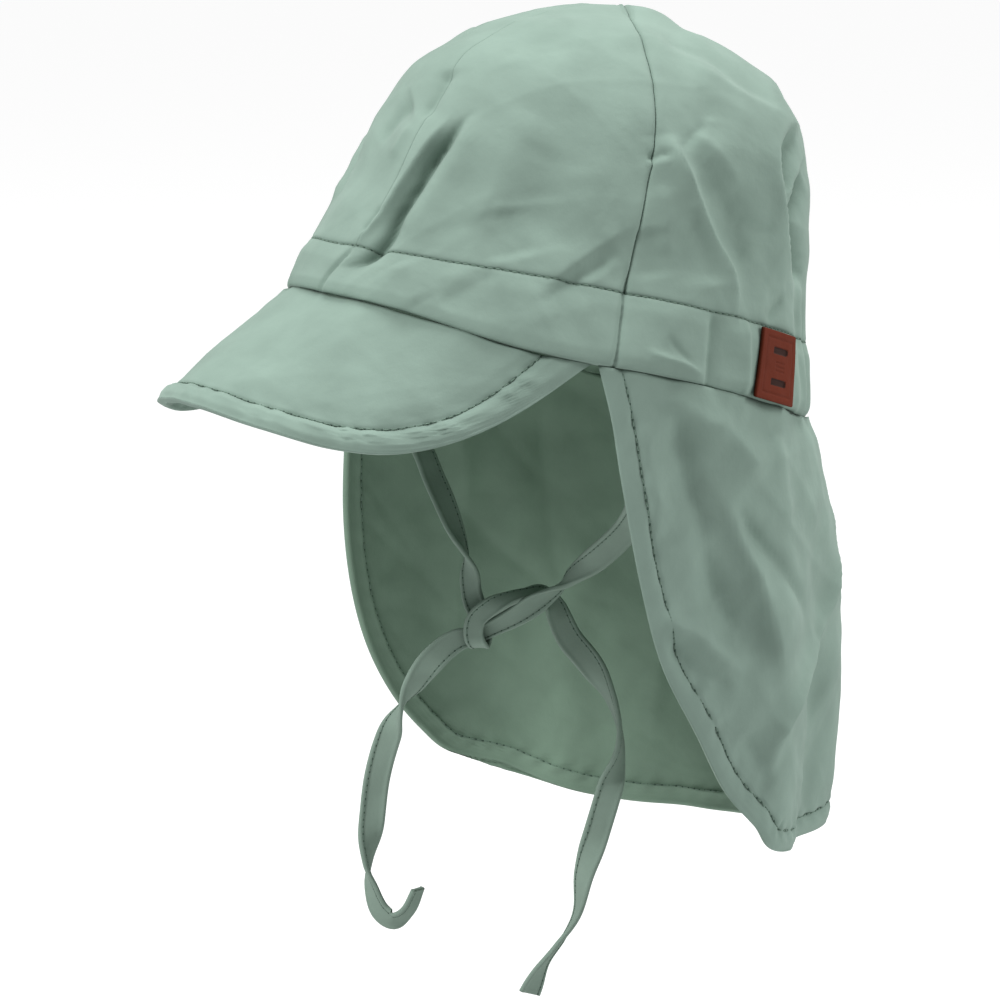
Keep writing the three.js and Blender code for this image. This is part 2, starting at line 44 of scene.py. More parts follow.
# Sizes shared with the plain solids
RING_WIDTH = 145
RING_LENGTH = 174
WEAR_TILT = math.radians(16.9)
CROWN_HEIGHT = 105
CROWN_LEAN = 4
BAND_HEIGHT = 21.5
BAND_FRONT = 14.5
BAND_WALL = 2.2
SAG_DEPTH = 3
SAG_TURN = 56
SAG_WIDTH = 22
CLOTH_WALL = 1.2
REST_GAP = 0.4
GATHER_DEPTH = 0.9
GATHER_COUNT = 24
PEAK_REACH = 53
PEAK_SPAN = 134.5
PEAK_ROUND = 5
PEAK_TAPER = 1.35
PEAK_WALL = 3.4
PEAK_SLOPE = 47.4
PEAK_SIDE_SLOPE = 26
PEAK_ARCH = 0.92
PEAK_MARGIN = 7.2
FLAP_DROP = 135
FLAP_BACK_DROP = 11
FLAP_BACK_FULL = 0.85
FLAP_BACK_LEAST = 0.15
FLAP_BACK_LEAN = 1.35
FLAP_SPAN = 223
FLAP_FLARE = 7
FLAP_FLARE_RUN = 0.72
FLAP_SWAY = 5
FLAP_WAVE = 2.4
HEM_WIDTH = 6.4
HEM_WALL = 2
TIE_WIDTH = 8
TIE_WALL = 1.1
LABEL_WIDTH = 19
LABEL_HEIGHT = 20.5
LABEL_WALL = 1.2
LABEL_ANGLE = 112.8
LABEL_LEAN = 3.2
KNOT_SIDE = math.radians(55)
KNOT_FORWARD = 0.2
KNOT_DROP = 0.593

# Camera and studio: the aim beside and below the cap's middle, the distance, the lens, and how bright the
# floor is to the camera beyond what it gives to the cloth
CAMERA_ASIDE = -14.82
CAMERA_BELOW = 44.31
CAMERA_AWAY = 1161
CAMERA_SENSOR = 36
CAMERA_LENS = 139.6
FLOOR_BELOW = 230
FLOOR_REACH = 9000
FLOOR_GLOW = 0.45
FLOOR_GLOW_SEEN = 0.45
WORLD_GLOW = 0.2

# Radians that Blender's wave texture turns through in one unit at scale 1
WAVE_TURN = 20

# Crown outline: height share, reach in front and behind, and the turns of the front and side seams
CROWN = {
    "height": [0, 0.12, 0.22, 0.34, 0.48, 0.6, 0.69, 0.78, 0.86, 0.925, 0.975, 1],
    "front": [1, 0.948, 0.9, 0.847, 0.807, 0.756, 0.692, 0.587, 0.456, 0.312, 0.16, 0.03],
    "back": [1, 0.96, 0.925, 0.887, 0.855, 0.835, 0.797, 0.75, 0.655, 0.48, 0.208, 0.03],
    "front_seam": [2.2, 6.5, 9, 9.8, 10.8, 9.5, 8, 6, 4, 3, 3, 3],
    "side_seam": [72, 72, 72, 72.5, 73, 73.5, 73, 72, 70, 67, 64, 62],
}

CROWN_FOLD_STRENGTH = 1.5
FLAP_FOLD_STRENGTH = 1.8

# Folds of the crown and band: the places that each passes, as (turn in degrees, height share), its
# widths in mm to the left and right of that run, how far it stands out in mm, and how rounded it is
CROWN_FOLDS = [
    ([(6.5, 0.13), (10, 0.215), (11.6, 0.32), (15.4, 0.436), (18, 0.53)], (6, 1.1), 1.7, 0.5),
    (
        [(5.8, 0.075), (11.5, 0.105), (14.6, 0.176), (14.8, 0.268), (18, 0.398), (21, 0.49), (23.5, 0.55)],
        (1.3, 2.7), -3.1, 0.7,
    ),
    ([(18, 0.16), (19.5, 0.3), (23, 0.44), (26, 0.54)], (3.0, 7), 0.9, 1.2),
    ([(20, 0.177), (23, 0.319), (26, 0.439), (28, 0.55)], (4, 6), 0.9, 2.5),
    ([(7.5, 0.174), (8.5, 0.213), (9, 0.259)], (1.2, 1.6), -0.8, 0.4),
    ([(9, 0.52), (9, 0.61), (6.8, 0.68)], (2.4, 3.4), -1.3, 1.0),
    ([(-8.2, 0.443), (-4, 0.522), (0.2, 0.571)], (4, 5), -1.5, 1.5),
    ([(4, 0.4), (6.5, 0.5)], (3, 2), 0.7, 0.8),
    ([(43, 0.6), (39.5, 0.488), (37, 0.368), (36.5, 0.25)], (7, 9), 1.0, 2.0),
    ([(49, 0.52), (48.5, 0.425), (50, 0.36)], (6, 7), -0.35, 2.5),
    ([(41.8, 0.33), (47.8, 0.2)], (6, 9), -1.0, 2.5),
    ([(54, 0.14), (59.8, 0.229), (64.2, 0.289), (69, 0.345)], (7, 2.2), 1.0, 0.5),
    ([(54, 0.1), (61, 0.19), (69.5, 0.29)], (3, 10), -1.3, 1.0),
    ([(61.5, 0.165), (66, 0.215), (69.5, 0.27)], (2.5, 3), 0.8, 0.8),
    ([(71.8, 0.555), (74, 0.565), (77.5, 0.587)], (1.0, 1.4), -0.7, 0.3),
    ([(71.8, 0.535), (77, 0.562)], (1.2, 2.4), 0.7, 0.5),
    ([(77, 0.64), (79.2, 0.585), (84.2, 0.504), (91, 0.4), (97.2, 0.309), (100, 0.17)], (2.2, 7), 2.7, 0.5),
    ([(84, 0.45), (90, 0.355), (92, 0.26)], (6, 6), -1.2, 2.0),
    ([(86.2, 0.578), (96.5, 0.469), (103, 0.34)], (5, 6), -1.1, 2.0),
    ([(84.5, 0.66), (90.8, 0.618), (99, 0.55)], (4, 3), 0.9, 0.8),
    ([(80, 0.6), (83, 0.64), (88, 0.69)], (1.6, 2.2), -0.35, 0.5),
    ([(87.5, 0.79), (89.2, 0.7)], (2.0, 2.6), -0.35, 0.6),
    ([(78, 0.9), (95.8, 0.886), (109.5, 0.828), (124, 0.772)], (5, 5), -0.9, 2.0),
    ([(88, 0.85), (105.5, 0.804), (127, 0.775)], (4, 5), 1.0, 1.2),
    (
        [(146, 0.8), (132, 0.785), (121, 0.754), (113.5, 0.7), (111.8, 0.656),
         (112.8, 0.569), (115.8, 0.5), (118.8, 0.42), (124.5, 0.375), (135, 0.337)],
        (2.0, 9), 2.4, 0.7,
    ),
    ([(130, 0.76), (121, 0.715), (117.5, 0.652), (117, 0.583)], (4, 3), -2.2, 1.5),
    ([(141, 0.73), (132, 0.685), (124.8, 0.642), (119, 0.575), (116.2, 0.51)], (1.4, 4), 1.6, 0.5),
    ([(140, 0.68), (131, 0.61), (125, 0.53), (128, 0.45), (137, 0.37)], (5, 4), -7.0, 2.0),
    ([(150, 0.72), (146, 0.6), (147, 0.36)], (9, 9), -0.3, 4.0),
    ([(112, 0.96), (126, 0.92), (136, 0.85)], (9, 9), 1.2, 4.0),
    ([(60, 0.97), (120, 0.975)], (9, 9), 1.5, 4.0),
    ([(-30, 0.94), (-50, 0.86), (-45, 0.78)], (12, 12), -1.0, 4.0),
    ([(-15, -0.02), (-32, 0.03), (-50, 0.05)], (9, 9), -1.6, 4.0),
    ([(98, 0.455), (112, 0.463)], (1.8, 1.8), -0.7, 0.6),
    ([(119, 0.3), (114, 0.25), (111, 0.2)], (1.6, 1.8), -1.0, 0.5),
    ([(76.2, 0.494), (78.5, 0.405), (80.5, 0.307)], (3.5, 4), 0.8, 1.2),
    ([(74.2, 0.37), (78, 0.24)], (5, 5), -0.8, 2.0),
    ([(34, 0.04), (39.2, 0.1), (44, 0.155)], (3.5, 5), -0.9, 1.2),
    ([(22, 0.12), (30, 0.02)], (4, 5), 0.7, 1.5),
    ([(50, 0.02), (58, 0.1), (66, 0.12)], (5, 4), 0.6, 1.5),
    ([(77.5, 0.054), (81, 0.044), (84.5, 0.041), (88, 0.035), (91.5, 0.012)], (1.0, 2.4), 0.9, 0.3),
    ([(81.8, 0.102), (85, 0.072), (87.5, 0.048), (90.2, 0.028)], (1.0, 1.8), -0.5, 0.3),
    ([(93, 0.2), (92.6, 0.096), (92.2, -0.02)], (4.5, 0.9), -1.2, 0.3),
    ([(102.5, 0.2), (103, 0.096), (102.5, -0.02)], (2.0, 3.0), 0.9, 0.4),
    ([(71.6, -0.03), (71.4, 0.1), (71.8, 0.24)], (0.5, 0.8), -0.8, 0.1),
    ([(1.6, -0.03), (2.5, 0.03), (3.2, 0.06), (5.4, 0.105), (7, 0.15)], (0.5, 0.8), -0.8, 0.1),
    ([(-20, 0.28), (-30, 0.5), (-40, 0.78)], (6, 3), -2.6, 1.2),
    ([(-25, 0.26), (-38, 0.5)], (3, 7), 1.4, 1.0),
    ([(-62, 0.24), (-58, 0.45), (-52, 0.64)], (8, 4), -1.8, 1.5),
    ([(-72, 0.2), (-84, 0.4), (-88, 0.6)], (5, 3), 1.4, 0.8),
    ([(-96, 0.18), (-108, 0.35), (-112, 0.66)], (3, 7), -2.6, 1.2),
    ([(-118, 0.2), (-124, 0.5)], (5, 4), 1.3, 1.0),
    ([(172, 0.22), (168, 0.4), (163, 0.62)], (4, 7), -2.4, 1.2),
    ([(178, 0.24), (176, 0.5)], (6, 4), 1.2, 1.0),
    ([(-158, 0.22), (-150, 0.4), (-146, 0.6)], (7, 3), -2.6, 1.2),
    ([(-140, 0.24), (-136, 0.5)], (5, 5), 1.3, 1.2),
]

# Free edges of the neck flap and its hanging folds, as in the plain solids
FLAP_EDGE = {
    "drop": [0, 0.1, 0.2, 0.4, 0.56, 0.7, 0.82, 0.91, 0.97, 1],
    "left": [0, 0.025, 0.041, 0.078, 0.122, 0.196, 0.262, 0.336, 0.38, 0.471],
    "right": [0, 0.019, 0.036, 0.051, 0.08, 0.124, 0.184, 0.249, 0.308, 0.404],
}
FLAP_SWELLS = [
    {"turn": 146, "start": -0.1, "wide": 24, "deep": 3.2},
    {"turn": 143, "start": 0.75, "wide": 26, "deep": -2.8},
    {"turn": 150, "start": 0.35, "wide": 12, "deep": 2.5},
    {"turn": 132, "start": 0.3, "wide": 10, "deep": -4},
    {"turn": 112, "start": 0.2, "wide": 13, "deep": 3},
    {"turn": 178, "start": 0.3, "wide": 14, "deep": -4},
    {"turn": 205, "start": 0.3, "wide": 13, "deep": 3.5},
    {"turn": 232, "start": 0.3, "wide": 13, "deep": -3},
    {"turn": 258, "start": 0.35, "wide": 12, "deep": 2},
]
# Folds of the flap as those of the crown, with places as (side, down)
FLAP_FOLDS = [
    ([(0.865, 0.03), (0.86, 0.132), (0.845, 0.263), (0.83, 0.397), (0.79, 0.527)], (5, 7), -2.2, 1.8),
    ([(0.80, 0.19), (0.765, 0.283), (0.735, 0.371), (0.72, 0.495), (0.72, 0.62)], (7, 2.6), 1.8, 0.8),
    ([(0.76, 0.22), (0.7, 0.3), (0.63, 0.371), (0.556, 0.46)], (2.2, 5), -1.5, 0.7),
    ([(0.3, 0.26), (0.38, 0.4), (0.5, 0.52), (0.66, 0.62), (0.8, 0.72), (0.87, 0.84)], (5, 3.4), 1.8, 0.8),
    ([(0.98, 0.43), (0.953, 0.475), (0.9, 0.497), (0.867, 0.529), (0.8, 0.57)], (4, 3.4), 1.7, 1.0),
    ([(0.985, 0.495), (0.95, 0.543), (0.9, 0.581), (0.84, 0.601)], (3.4, 5), -1.4, 1.5),
    ([(0.945, 0.09), (0.938, 0.2), (0.943, 0.31)], (4, 5), 0.9, 1.5),
    ([(0.885, 0.03), (0.83, 0.06), (0.745, 0.095), (0.69, 0.18)], (5, 6), 1.5, 1.5),
    ([(0.945, 0.6), (0.94, 0.69)], (4, 4), 0.8, 1.2),
    ([(0.88, 0.7), (0.86, 0.82)], (4, 4), -0.9, 1.5),
    ([(0.62, 0.05), (0.6, 0.25)], (5, 6), 0.9, 2.0),
    ([(0.3, 0.1), (0.25, 0.5), (0.28, 0.85)], (6, 4), 1.6, 1.5),
    ([(0.1, 0.05), (0.12, 0.4), (0.06, 0.8)], (5, 8), -1.8, 2.0),
    ([(-0.12, 0.1), (-0.15, 0.6)], (6, 4), 1.4, 1.5),
    ([(-0.35, 0.08), (-0.3, 0.5), (-0.36, 0.85)], (4, 7), -1.6, 1.5),
    ([(-0.55, 0.1), (-0.52, 0.55)], (6, 4), 1.3, 1.2),
    ([(-0.75, 0.05), (-0.72, 0.35), (-0.78, 0.7)], (4, 6), -1.3, 1.2),
]

# Routes of the two tapes, in tape widths from the middle of the knot: across, up and near; then the
# way that the width runs (across, up, near) and the width as a share. "top" rows are in ring shares.
NEAR_TIE = [
    ("top", 0.93, -0.19, -0.01, (0.94, 0, -0.34), 1),
    ("top", 0.94, -0.19, -0.2, (0.94, 0, -0.34), 1),
    ("knot", 4.63, 4.19, 3.2, (0.8, -0.6, 0), 1),
    ("knot", 3.52, 2.74, 1.7, (0.7, -0.7, 0.1), 1),
    ("knot", 2.67, 1.93, 0.9, (0.4, -0.45, 0.8), 0.8),
    ("knot", 2.04, 1.25, 0.5, (-0.3, 0.4, 0.85), 0.85),
    ("knot", 1.3, 0.72, 0.35, (-0.45, 0.75, 0.48), 1.0),
    ("knot", 0.55, 0.22, 0.2, (-0.5, 0.78, 0.4), 0.95),
    ("knot", -0.37, -0.27, 0.05, (-0.5, 0.75, 0.4), 0.8),
    ("knot", -1.11, -0.59, 0, (-0.4, 0.8, 0.3), 0.8),
    ("knot", -1.78, -0.81, 0, (-0.5, 0.85, 0), 0.9),
    ("knot", -2.63, -1.52, 0.1, (-0.66, 0.75, 0), 1),
    ("knot", -3.33, -2.52, -0.1, (-0.7, 0.4, 0.6), 1),
    ("knot", -3.77, -3.45, -0.4, (0, 0, 1), 1),
    ("knot", -4.3, -4.65, -0.7, (0.9, -0.3, 0.3), 1),
    ("knot", -4.75, -6.31, -1, (1, -0.1, 0), 1),
    ("knot", -4.97, -8.05, -1.1, (1, -0.1, -0.1), 1),
    ("knot", -5.14, -9.75, -1.1, (0.2, 0, -0.98), 1),
    ("knot", -5.0, -10.65, -1, (-0.5, 0.1, -0.85), 1),
    ("knot", -4.65, -11.6, -0.9, (-0.55, -0.6, -0.55), 1),
    ("knot", -4.15, -11.9, -0.75, (-0.1, -0.8, -0.55), 1),
    ("knot", -3.62, -11.5, -0.6, (0.5, -0.35, -0.8), 0.9),
    ("knot", -3.2, -10.6, -0.5, (0.5, 0.0, -0.87), 0.9),
]
FAR_TIE = [
    ("top", -0.93, -0.19, -0.01, (0.64, 0, -0.77), 1),
    ("top", -0.86, -0.24, -0.12, (0.64, 0.1, -0.76), 1),
    ("knot", -3.1, 6.1, -3.2, (0.65, 0.2, -0.73), 1),
    ("knot", -2.6, 5.07, -2.4, (0.65, 0.3, -0.7), 1),
    ("knot", -2.2, 4.26, -1.8, (0.65, 0.3, -0.7), 1),
    ("knot", -1.78, 3.3, -1.2, (0.5, 0.2, -0.84), 1),
    ("knot", -1.37, 2.37, -0.8, (0, 0, -1), 1),
    ("knot", -1.22, 1.63, -0.6, (-0.7, 0, -0.7), 1),
    ("knot", -1.15, 1.0, -0.5, (-0.85, 0, -0.5), 0.9),
    ("knot", -1.0, 0.45, -0.42, (-1, 0, 0), 0.8),
    ("knot", -0.8, -0.1, -0.4, (-1, 0, 0), 0.7),
    ("knot", -0.7, -0.6, -0.38, (-1, 0, 0), 0.7),
    ("knot", -0.8, -0.98, 0, (-1, 0, 0), 0.7),
    ("knot", -1.0, -0.7, 0.42, (-1, 0, 0), 0.75),
    ("knot", -1.07, -0.37, 0.45, (-1, 0.1, 0), 0.75),
    ("knot", -0.96, 0.15, 0.48, (-0.9, 0.4, 0), 0.75),
    ("knot", -0.52, 0.56, 0.46, (-0.6, 0.75, 0), 0.75),
    ("knot", 0.2, 0.87, 0.3, (-0.2, 0.6, -0.8), 0.7),
    ("knot", 0.93, 1.02, 0, (0, 0.3, -0.95), 0.7),
    ("knot", 1.55, 0.95, -0.4, (0.2, 0.6, -0.75), 0.75),
    ("knot", 1.96, 0.5, -0.5, (0.6, 0.6, -0.5), 0.85),
    ("knot", 2.2, -0.05, -0.4, (0.9, 0.4, 0), 0.95),
    ("knot", 2.55, -0.74, -0.2, (0.9, 0.4, 0), 1),
    ("knot", 3.3, -1.6, 0.2, (0.7, 0.7, 0.1), 1),
    ("knot", 4.04, -2.75, 0.5, (0.4, 0.2, 0.9), 1),
    ("knot", 4.4, -4.0, 0.8, (0, 0, 1), 1),
    ("knot", 4.4, -4.95, 1, (-0.4, 0, 0.9), 1),
    ("knot", 4.0, -6.4, 1.2, (-1, -0.2, 0), 1),
    ("knot", 3.55, -7.9, 1.4, (-1, -0.2, 0), 1),
    ("knot", 3.1, -9.4, 1.5, (-0.7, -0.1, -0.7), 1),
    ("knot", 2.8, -11, 1.5, (-0.1, 0, -1), 1),
    ("knot", 2.2, -12.1, 1.5, (0.4, 0.2, -0.9), 1),
    ("knot", 1.5, -13.1, 1.5, (0.6, 0.3, -0.7), 1),
    ("knot", 1.05, -14.1, 1.5, (0.85, 0.35, -0.4), 1),
]


def smooth(values, low, high):
    """A share that eases from 0 at low to 1 at high."""
    share = np.clip((np.asarray(values, float) - low) / (high - low), 0, 1)
    return share * share * (3 - 2 * share)


def bell(distance, width):
    return np.exp(-((distance / width) ** 2))


def unit(vectors):
    return vectors / np.maximum(np.linalg.norm(vectors, axis=-1, keepdims=True), 1e-9)


def run_along(line):
    """How far along a line of points each of them is."""
    return np.concatenate([[0], np.cumsum(np.linalg.norm(np.diff(line, axis=0), axis=-1))])


def places_on(line, run, where):
    """Points on a line of points at the given distances along it."""
    return np.stack([np.interp(where, run, line[:, i]) for i in range(3)], -1)


def quarter_round(share, least=0.0):
    """The height of a rounded edge, from 0 to 1, at a share of the way in over it."""
    return np.sqrt(np.clip(1 - (1 - np.clip(share, 0, 1)) ** 2, least, 1))


def column(values, share):
    """A smooth curve through a column of values, at shares of the way through it."""
    values = np.asarray(values, float)
    last = len(values) - 1
    place = np.clip(share, 0, 1) * last
    at = np.minimum(np.floor(place).astype(int), last - 1)
    before, start, end, after = (values[np.clip(at + i, 0, last)] for i in (-1, 0, 1, 2))
    t = place - at
    if values.ndim > 1:
        t = t[..., None]
    slope_start, slope_end = (end - before) / 2, (after - start) / 2
    bend = 2 * (start - end) + slope_start + slope_end
    lean = 3 * (end - start) - 2 * slope_start - slope_end
    return ((bend * t + lean) * t + slope_start) * t + start


SHARES = np.linspace(0, 1, 4001)


def share_at(values, wanted):
    return np.interp(wanted, column(values, SHARES), SHARES)


def worn(points):
    """Points of the cap's own frame, tilted as the cap is worn."""
    x, y, height = points[..., 0], points[..., 1], points[..., 2]
    back = y * math.cos(WEAR_TILT) + height * math.sin(WEAR_TILT)
    up = height * math.cos(WEAR_TILT) - y * math.sin(WEAR_TILT)
    return np.stack([x, back, up], -1)


def fold_lines(rows, place):
    """Each fold as a dense line of points on the smooth cloth, with its widths, depth and roundness."""
    shares = np.linspace(0, 1, 70)
    lines = []
    for path, widths, deep, rounded in rows:
        path = np.array(path, float)
        lines.append((place(column(path[:, 0], shares), column(path[:, 1], shares)), widths, deep, rounded))
    return lines


def folded(points, normals, lines, strength):
    """How far the folds push the cloth out at each point."""
    flat, facing = points.reshape(-1, 3), normals.reshape(-1, 3)
    push = np.zeros(len(flat))
    for line, (left, right), deep, rounded in lines:
        middle = line.mean(0)
        size = np.linalg.norm(line - middle, axis=-1).max() + 4.5 * max(left, right) + rounded
        close = np.flatnonzero(np.linalg.norm(flat - middle, axis=-1) < size)
        run = unit(np.gradient(line, axis=0))
        for start in range(0, close.size, 5000):
            some = close[start : start + 5000]
            gap = flat[some, None] - line[None]
            away = np.linalg.norm(gap, axis=-1)
            at = away.argmin(1)
            pick = np.arange(some.size)
            near = away[pick, at]
            beside = np.einsum("ij,ij->i", np.cross(run[at], gap[pick, at]), facing[some])
            width = right + (left - right) * smooth(beside / np.maximum(near, 0.05), -0.7, 0.7)
            end = at / (len(line) - 1)
            fade = 0.15 + 0.85 * smooth(end, 0, 0.25) * (1 - smooth(end, 0.75, 1))
            shape = np.exp(-(np.sqrt(near**2 + rounded**2) - rounded) / width)
            push[some] += strength * deep * fade * shape
    return push.reshape(points.shape[:-1])


RIPPLES = np.random.default_rng(11)
RIPPLE_WAVES = [
    (unit(RIPPLES.normal(size=3)), RIPPLES.uniform(9, 34), RIPPLES.uniform(0, 6.28)) for _ in range(40)
]


def ripple(points, amount):
    """Small uneven swells, so that no part of the cloth is perfectly flat."""
    total = np.zeros(points.shape[:-1])
    for way, length, phase in RIPPLE_WAVES:
        total += length * np.sin(points @ way * (6.283 / length) + phase)
    return total * amount / 130


CREASES = np.random.default_rng(23)
CREASE_WAVES = [
    (
        unit(CREASES.normal(size=3)), CREASES.uniform(20, 46), CREASES.uniform(0, 6.28),
        unit(CREASES.normal(size=3)), CREASES.uniform(40, 80), CREASES.uniform(0, 6.28),
    )
    for _ in range(18)
]


def crumple(points, amount):
    """Short soft creases in patches, as in washed cotton."""
    total = np.zeros(points.shape[:-1])
    for way, length, phase, across, span, start in CREASE_WAVES:
        beside = points @ across * (6.283 / span) + start
        wave = points @ way * (6.283 / length) + phase + 1.2 * np.sin(beside)
        ridge = (1 - np.sqrt(np.sin(wave / 2) ** 2 + 0.003)) ** 4
        patch = smooth(np.sin(beside * 0.6 + 2 * phase), 0.1, 0.9)
        total += ridge * patch * length / 30
    return total * amount


def band_top(turn):
    """How high the band stands at a turn: lower at the front."""
    ahead = ((1 + np.cos(np.radians(turn))) / 2) ** 3
    return BAND_HEIGHT - (BAND_HEIGHT - BAND_FRONT) * ahead


def band_sag(turn):
    """How far the band's lower edge hangs below its ring where the peak's corners pull it down."""
    around = np.abs((turn + 180) % 360 - 180)
    return SAG_DEPTH * bell(around - SAG_TURN, SAG_WIDTH)


def gather_strength(turn):
    """How strongly the elastic behind gathers the band, fading out towards the ears."""
    return smooth(-np.cos(np.radians(turn)), 0.42, 0.75)


def wall(turn, share):
    """The cap's smooth wall in its own frame, at turns from the front and shares through its rows."""
    turn, share = np.broadcast_arrays(np.asarray(turn, float), np.asarray(share, float))
    angle = np.radians(turn)
    height = column(CROWN["height"], share)
    front = column(CROWN["front"], share)
    back = column(CROWN["back"], share)
    reach = front + (back - front) * (1 - np.cos(angle)) / 2
    x = RING_WIDTH / 2 * reach * np.sin(angle)
    y = -RING_LENGTH / 2 * reach * np.cos(angle) - CROWN_LEAN * height
    return np.stack([x, y, height * CROWN_HEIGHT], -1)


CROWN_LINES = fold_lines(CROWN_FOLDS, lambda turn, height: wall(turn, share_at(CROWN["height"], height)))


def dressed(turn, share, seam_mm=None):
    """The outer face of the cap with its folds, seams, stitched groove, gathers and small swells."""
    points = wall(turn, share)
    step_turn, step_share = 0.6, 0.004
    across = wall(turn + step_turn, share) - wall(turn - step_turn, share)
    up = wall(turn, np.minimum(share + step_share, 1)) - wall(turn, np.maximum(share - step_share, 0))
    normal = unit(np.cross(across, up))
    height = points[..., 2]
    out = ripple(points, 0.35) * smooth(height, -4, 12)
    out += crumple(points, 0.22)
    out += folded(points, normal, CROWN_LINES, CROWN_FOLD_STRENGTH)
    top = band_top(turn)
    under_label = smooth(11 - np.abs(turn - LABEL_ANGLE), 0, 3) * (1 - smooth(height, top, top + 4))
    out = out * (1 - 0.85 * under_label) + 0.7 * smooth(height, 0, 3.5) * (1 - smooth(height, top - 5, top))
    out -= 0.3 * bell(height - top, 0.6)
    grip = gather_strength(turn) * (1 - under_label)
    wave = np.sin(np.radians(turn) * GATHER_COUNT * 1.5 + 0.8 * np.sin(np.radians(turn) * 11))
    fall = 1 - smooth(height, top + 2, top + 22)
    out -= grip * 2.2 * fall
    out += grip * wave * GATHER_DEPTH * (0.35 + 0.65 * smooth(height, -1, 6)) * fall
    if seam_mm is not None:
        out -= np.where(np.abs(turn - 180) > 150, 0.2, 0.75) * np.exp(-seam_mm / 0.45)
    return points + normal * out[..., None], normal


def mesh_piece(name, outer, inner, material, ring=False, uv=None, inside_cloth_painted_shade=None):
    """A closed solid between two grids of points, with its width and length in metres as its map."""
    rows, cols = outer.shape[:2]
    points = np.concatenate([outer.reshape(-1, 3), inner.reshape(-1, 3)]) * METRES
    steps = cols if ring else cols - 1
    index = np.arange(rows * cols).reshape(rows, cols)
    if ring:
        index = np.concatenate([index, index[:, :1]], 1)
    rear = index + rows * cols
    quads = [
        np.stack([index[:-1, :-1], index[:-1, 1:], index[1:, 1:], index[1:, :-1]], -1).reshape(-1, 4),
        np.stack([rear[:-1, :-1], rear[1:, :-1], rear[1:, 1:], rear[:-1, 1:]], -1).reshape(-1, 4),
        np.stack([index[0, 1:], index[0, :-1], rear[0, :-1], rear[0, 1:]], -1),
        np.stack([index[-1, :-1], index[-1, 1:], rear[-1, 1:], rear[-1, :-1]], -1),
    ]
    if not ring:
        quads.append(np.stack([index[:-1, 0], index[1:, 0], rear[1:, 0], rear[:-1, 0]], -1))
        quads.append(np.stack([index[1:, -1], index[:-1, -1], rear[:-1, -1], rear[1:, -1]], -1))
    faces = np.concatenate(quads)
    if uv is None:
        lengths = np.linalg.norm(np.diff(outer, axis=1), axis=-1)
        along = np.concatenate([np.zeros((rows, 1)), np.cumsum(lengths, 1)], 1)
        along = along - along.mean(1, keepdims=True)
        up = run_along(outer[:, cols // 2])
        uv = np.stack([along, np.broadcast_to(up[:, None], along.shape)], -1) * METRES
    uv = np.concatenate([uv.reshape(-1, 2)] * 2)
    # Inner faces take the second material, the inside cloth with its painted shade
    marks = np.zeros(len(faces), np.int32)
    marks[len(quads[0]) : len(quads[0]) + len(quads[1])] = 1
    return finish_mesh(name, points, faces, material, uv, inside_cloth_painted_shade, marks)


def finish_mesh(name, points, faces, material, uv=None, second=None, marks=None):
    mesh = bpy.data.meshes.new(name)
    mesh.vertices.add(len(points))
    mesh.vertices.foreach_set("co", np.asarray(points, np.float32).ravel())
    mesh.loops.add(faces.size)
    mesh.loops.foreach_set("vertex_index", faces.astype(np.int32).ravel())
    mesh.polygons.add(len(faces))
    mesh.polygons.foreach_set("loop_start", np.arange(0, faces.size, faces.shape[1], dtype=np.int32))
    mesh.polygons.foreach_set("use_smooth", np.ones(len(faces), bool))
    if second is not None:
        mesh.polygons.foreach_set("material_index", marks)
    mesh.update(calc_edges=True)
    if uv is not None:
        layer = mesh.uv_layers.new(name="cloth")
        layer.data.foreach_set("uv", uv[faces.ravel()].astype(np.float32).ravel())
    mesh.materials.append(material)
    if second is not None:
        mesh.materials.append(second)
    mesh.validate()
    made = bpy.data.objects.new(name, mesh)
    bpy.context.scene.collection.objects.link(made)
    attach(made, "root")
    return made


def node(tree, kind, **values):
    made = tree.nodes.new(kind)
    for name, value in values.items():
        if name in made.inputs:
            made.inputs[name].default_value = value
        else:
            setattr(made, name, value)
    return made


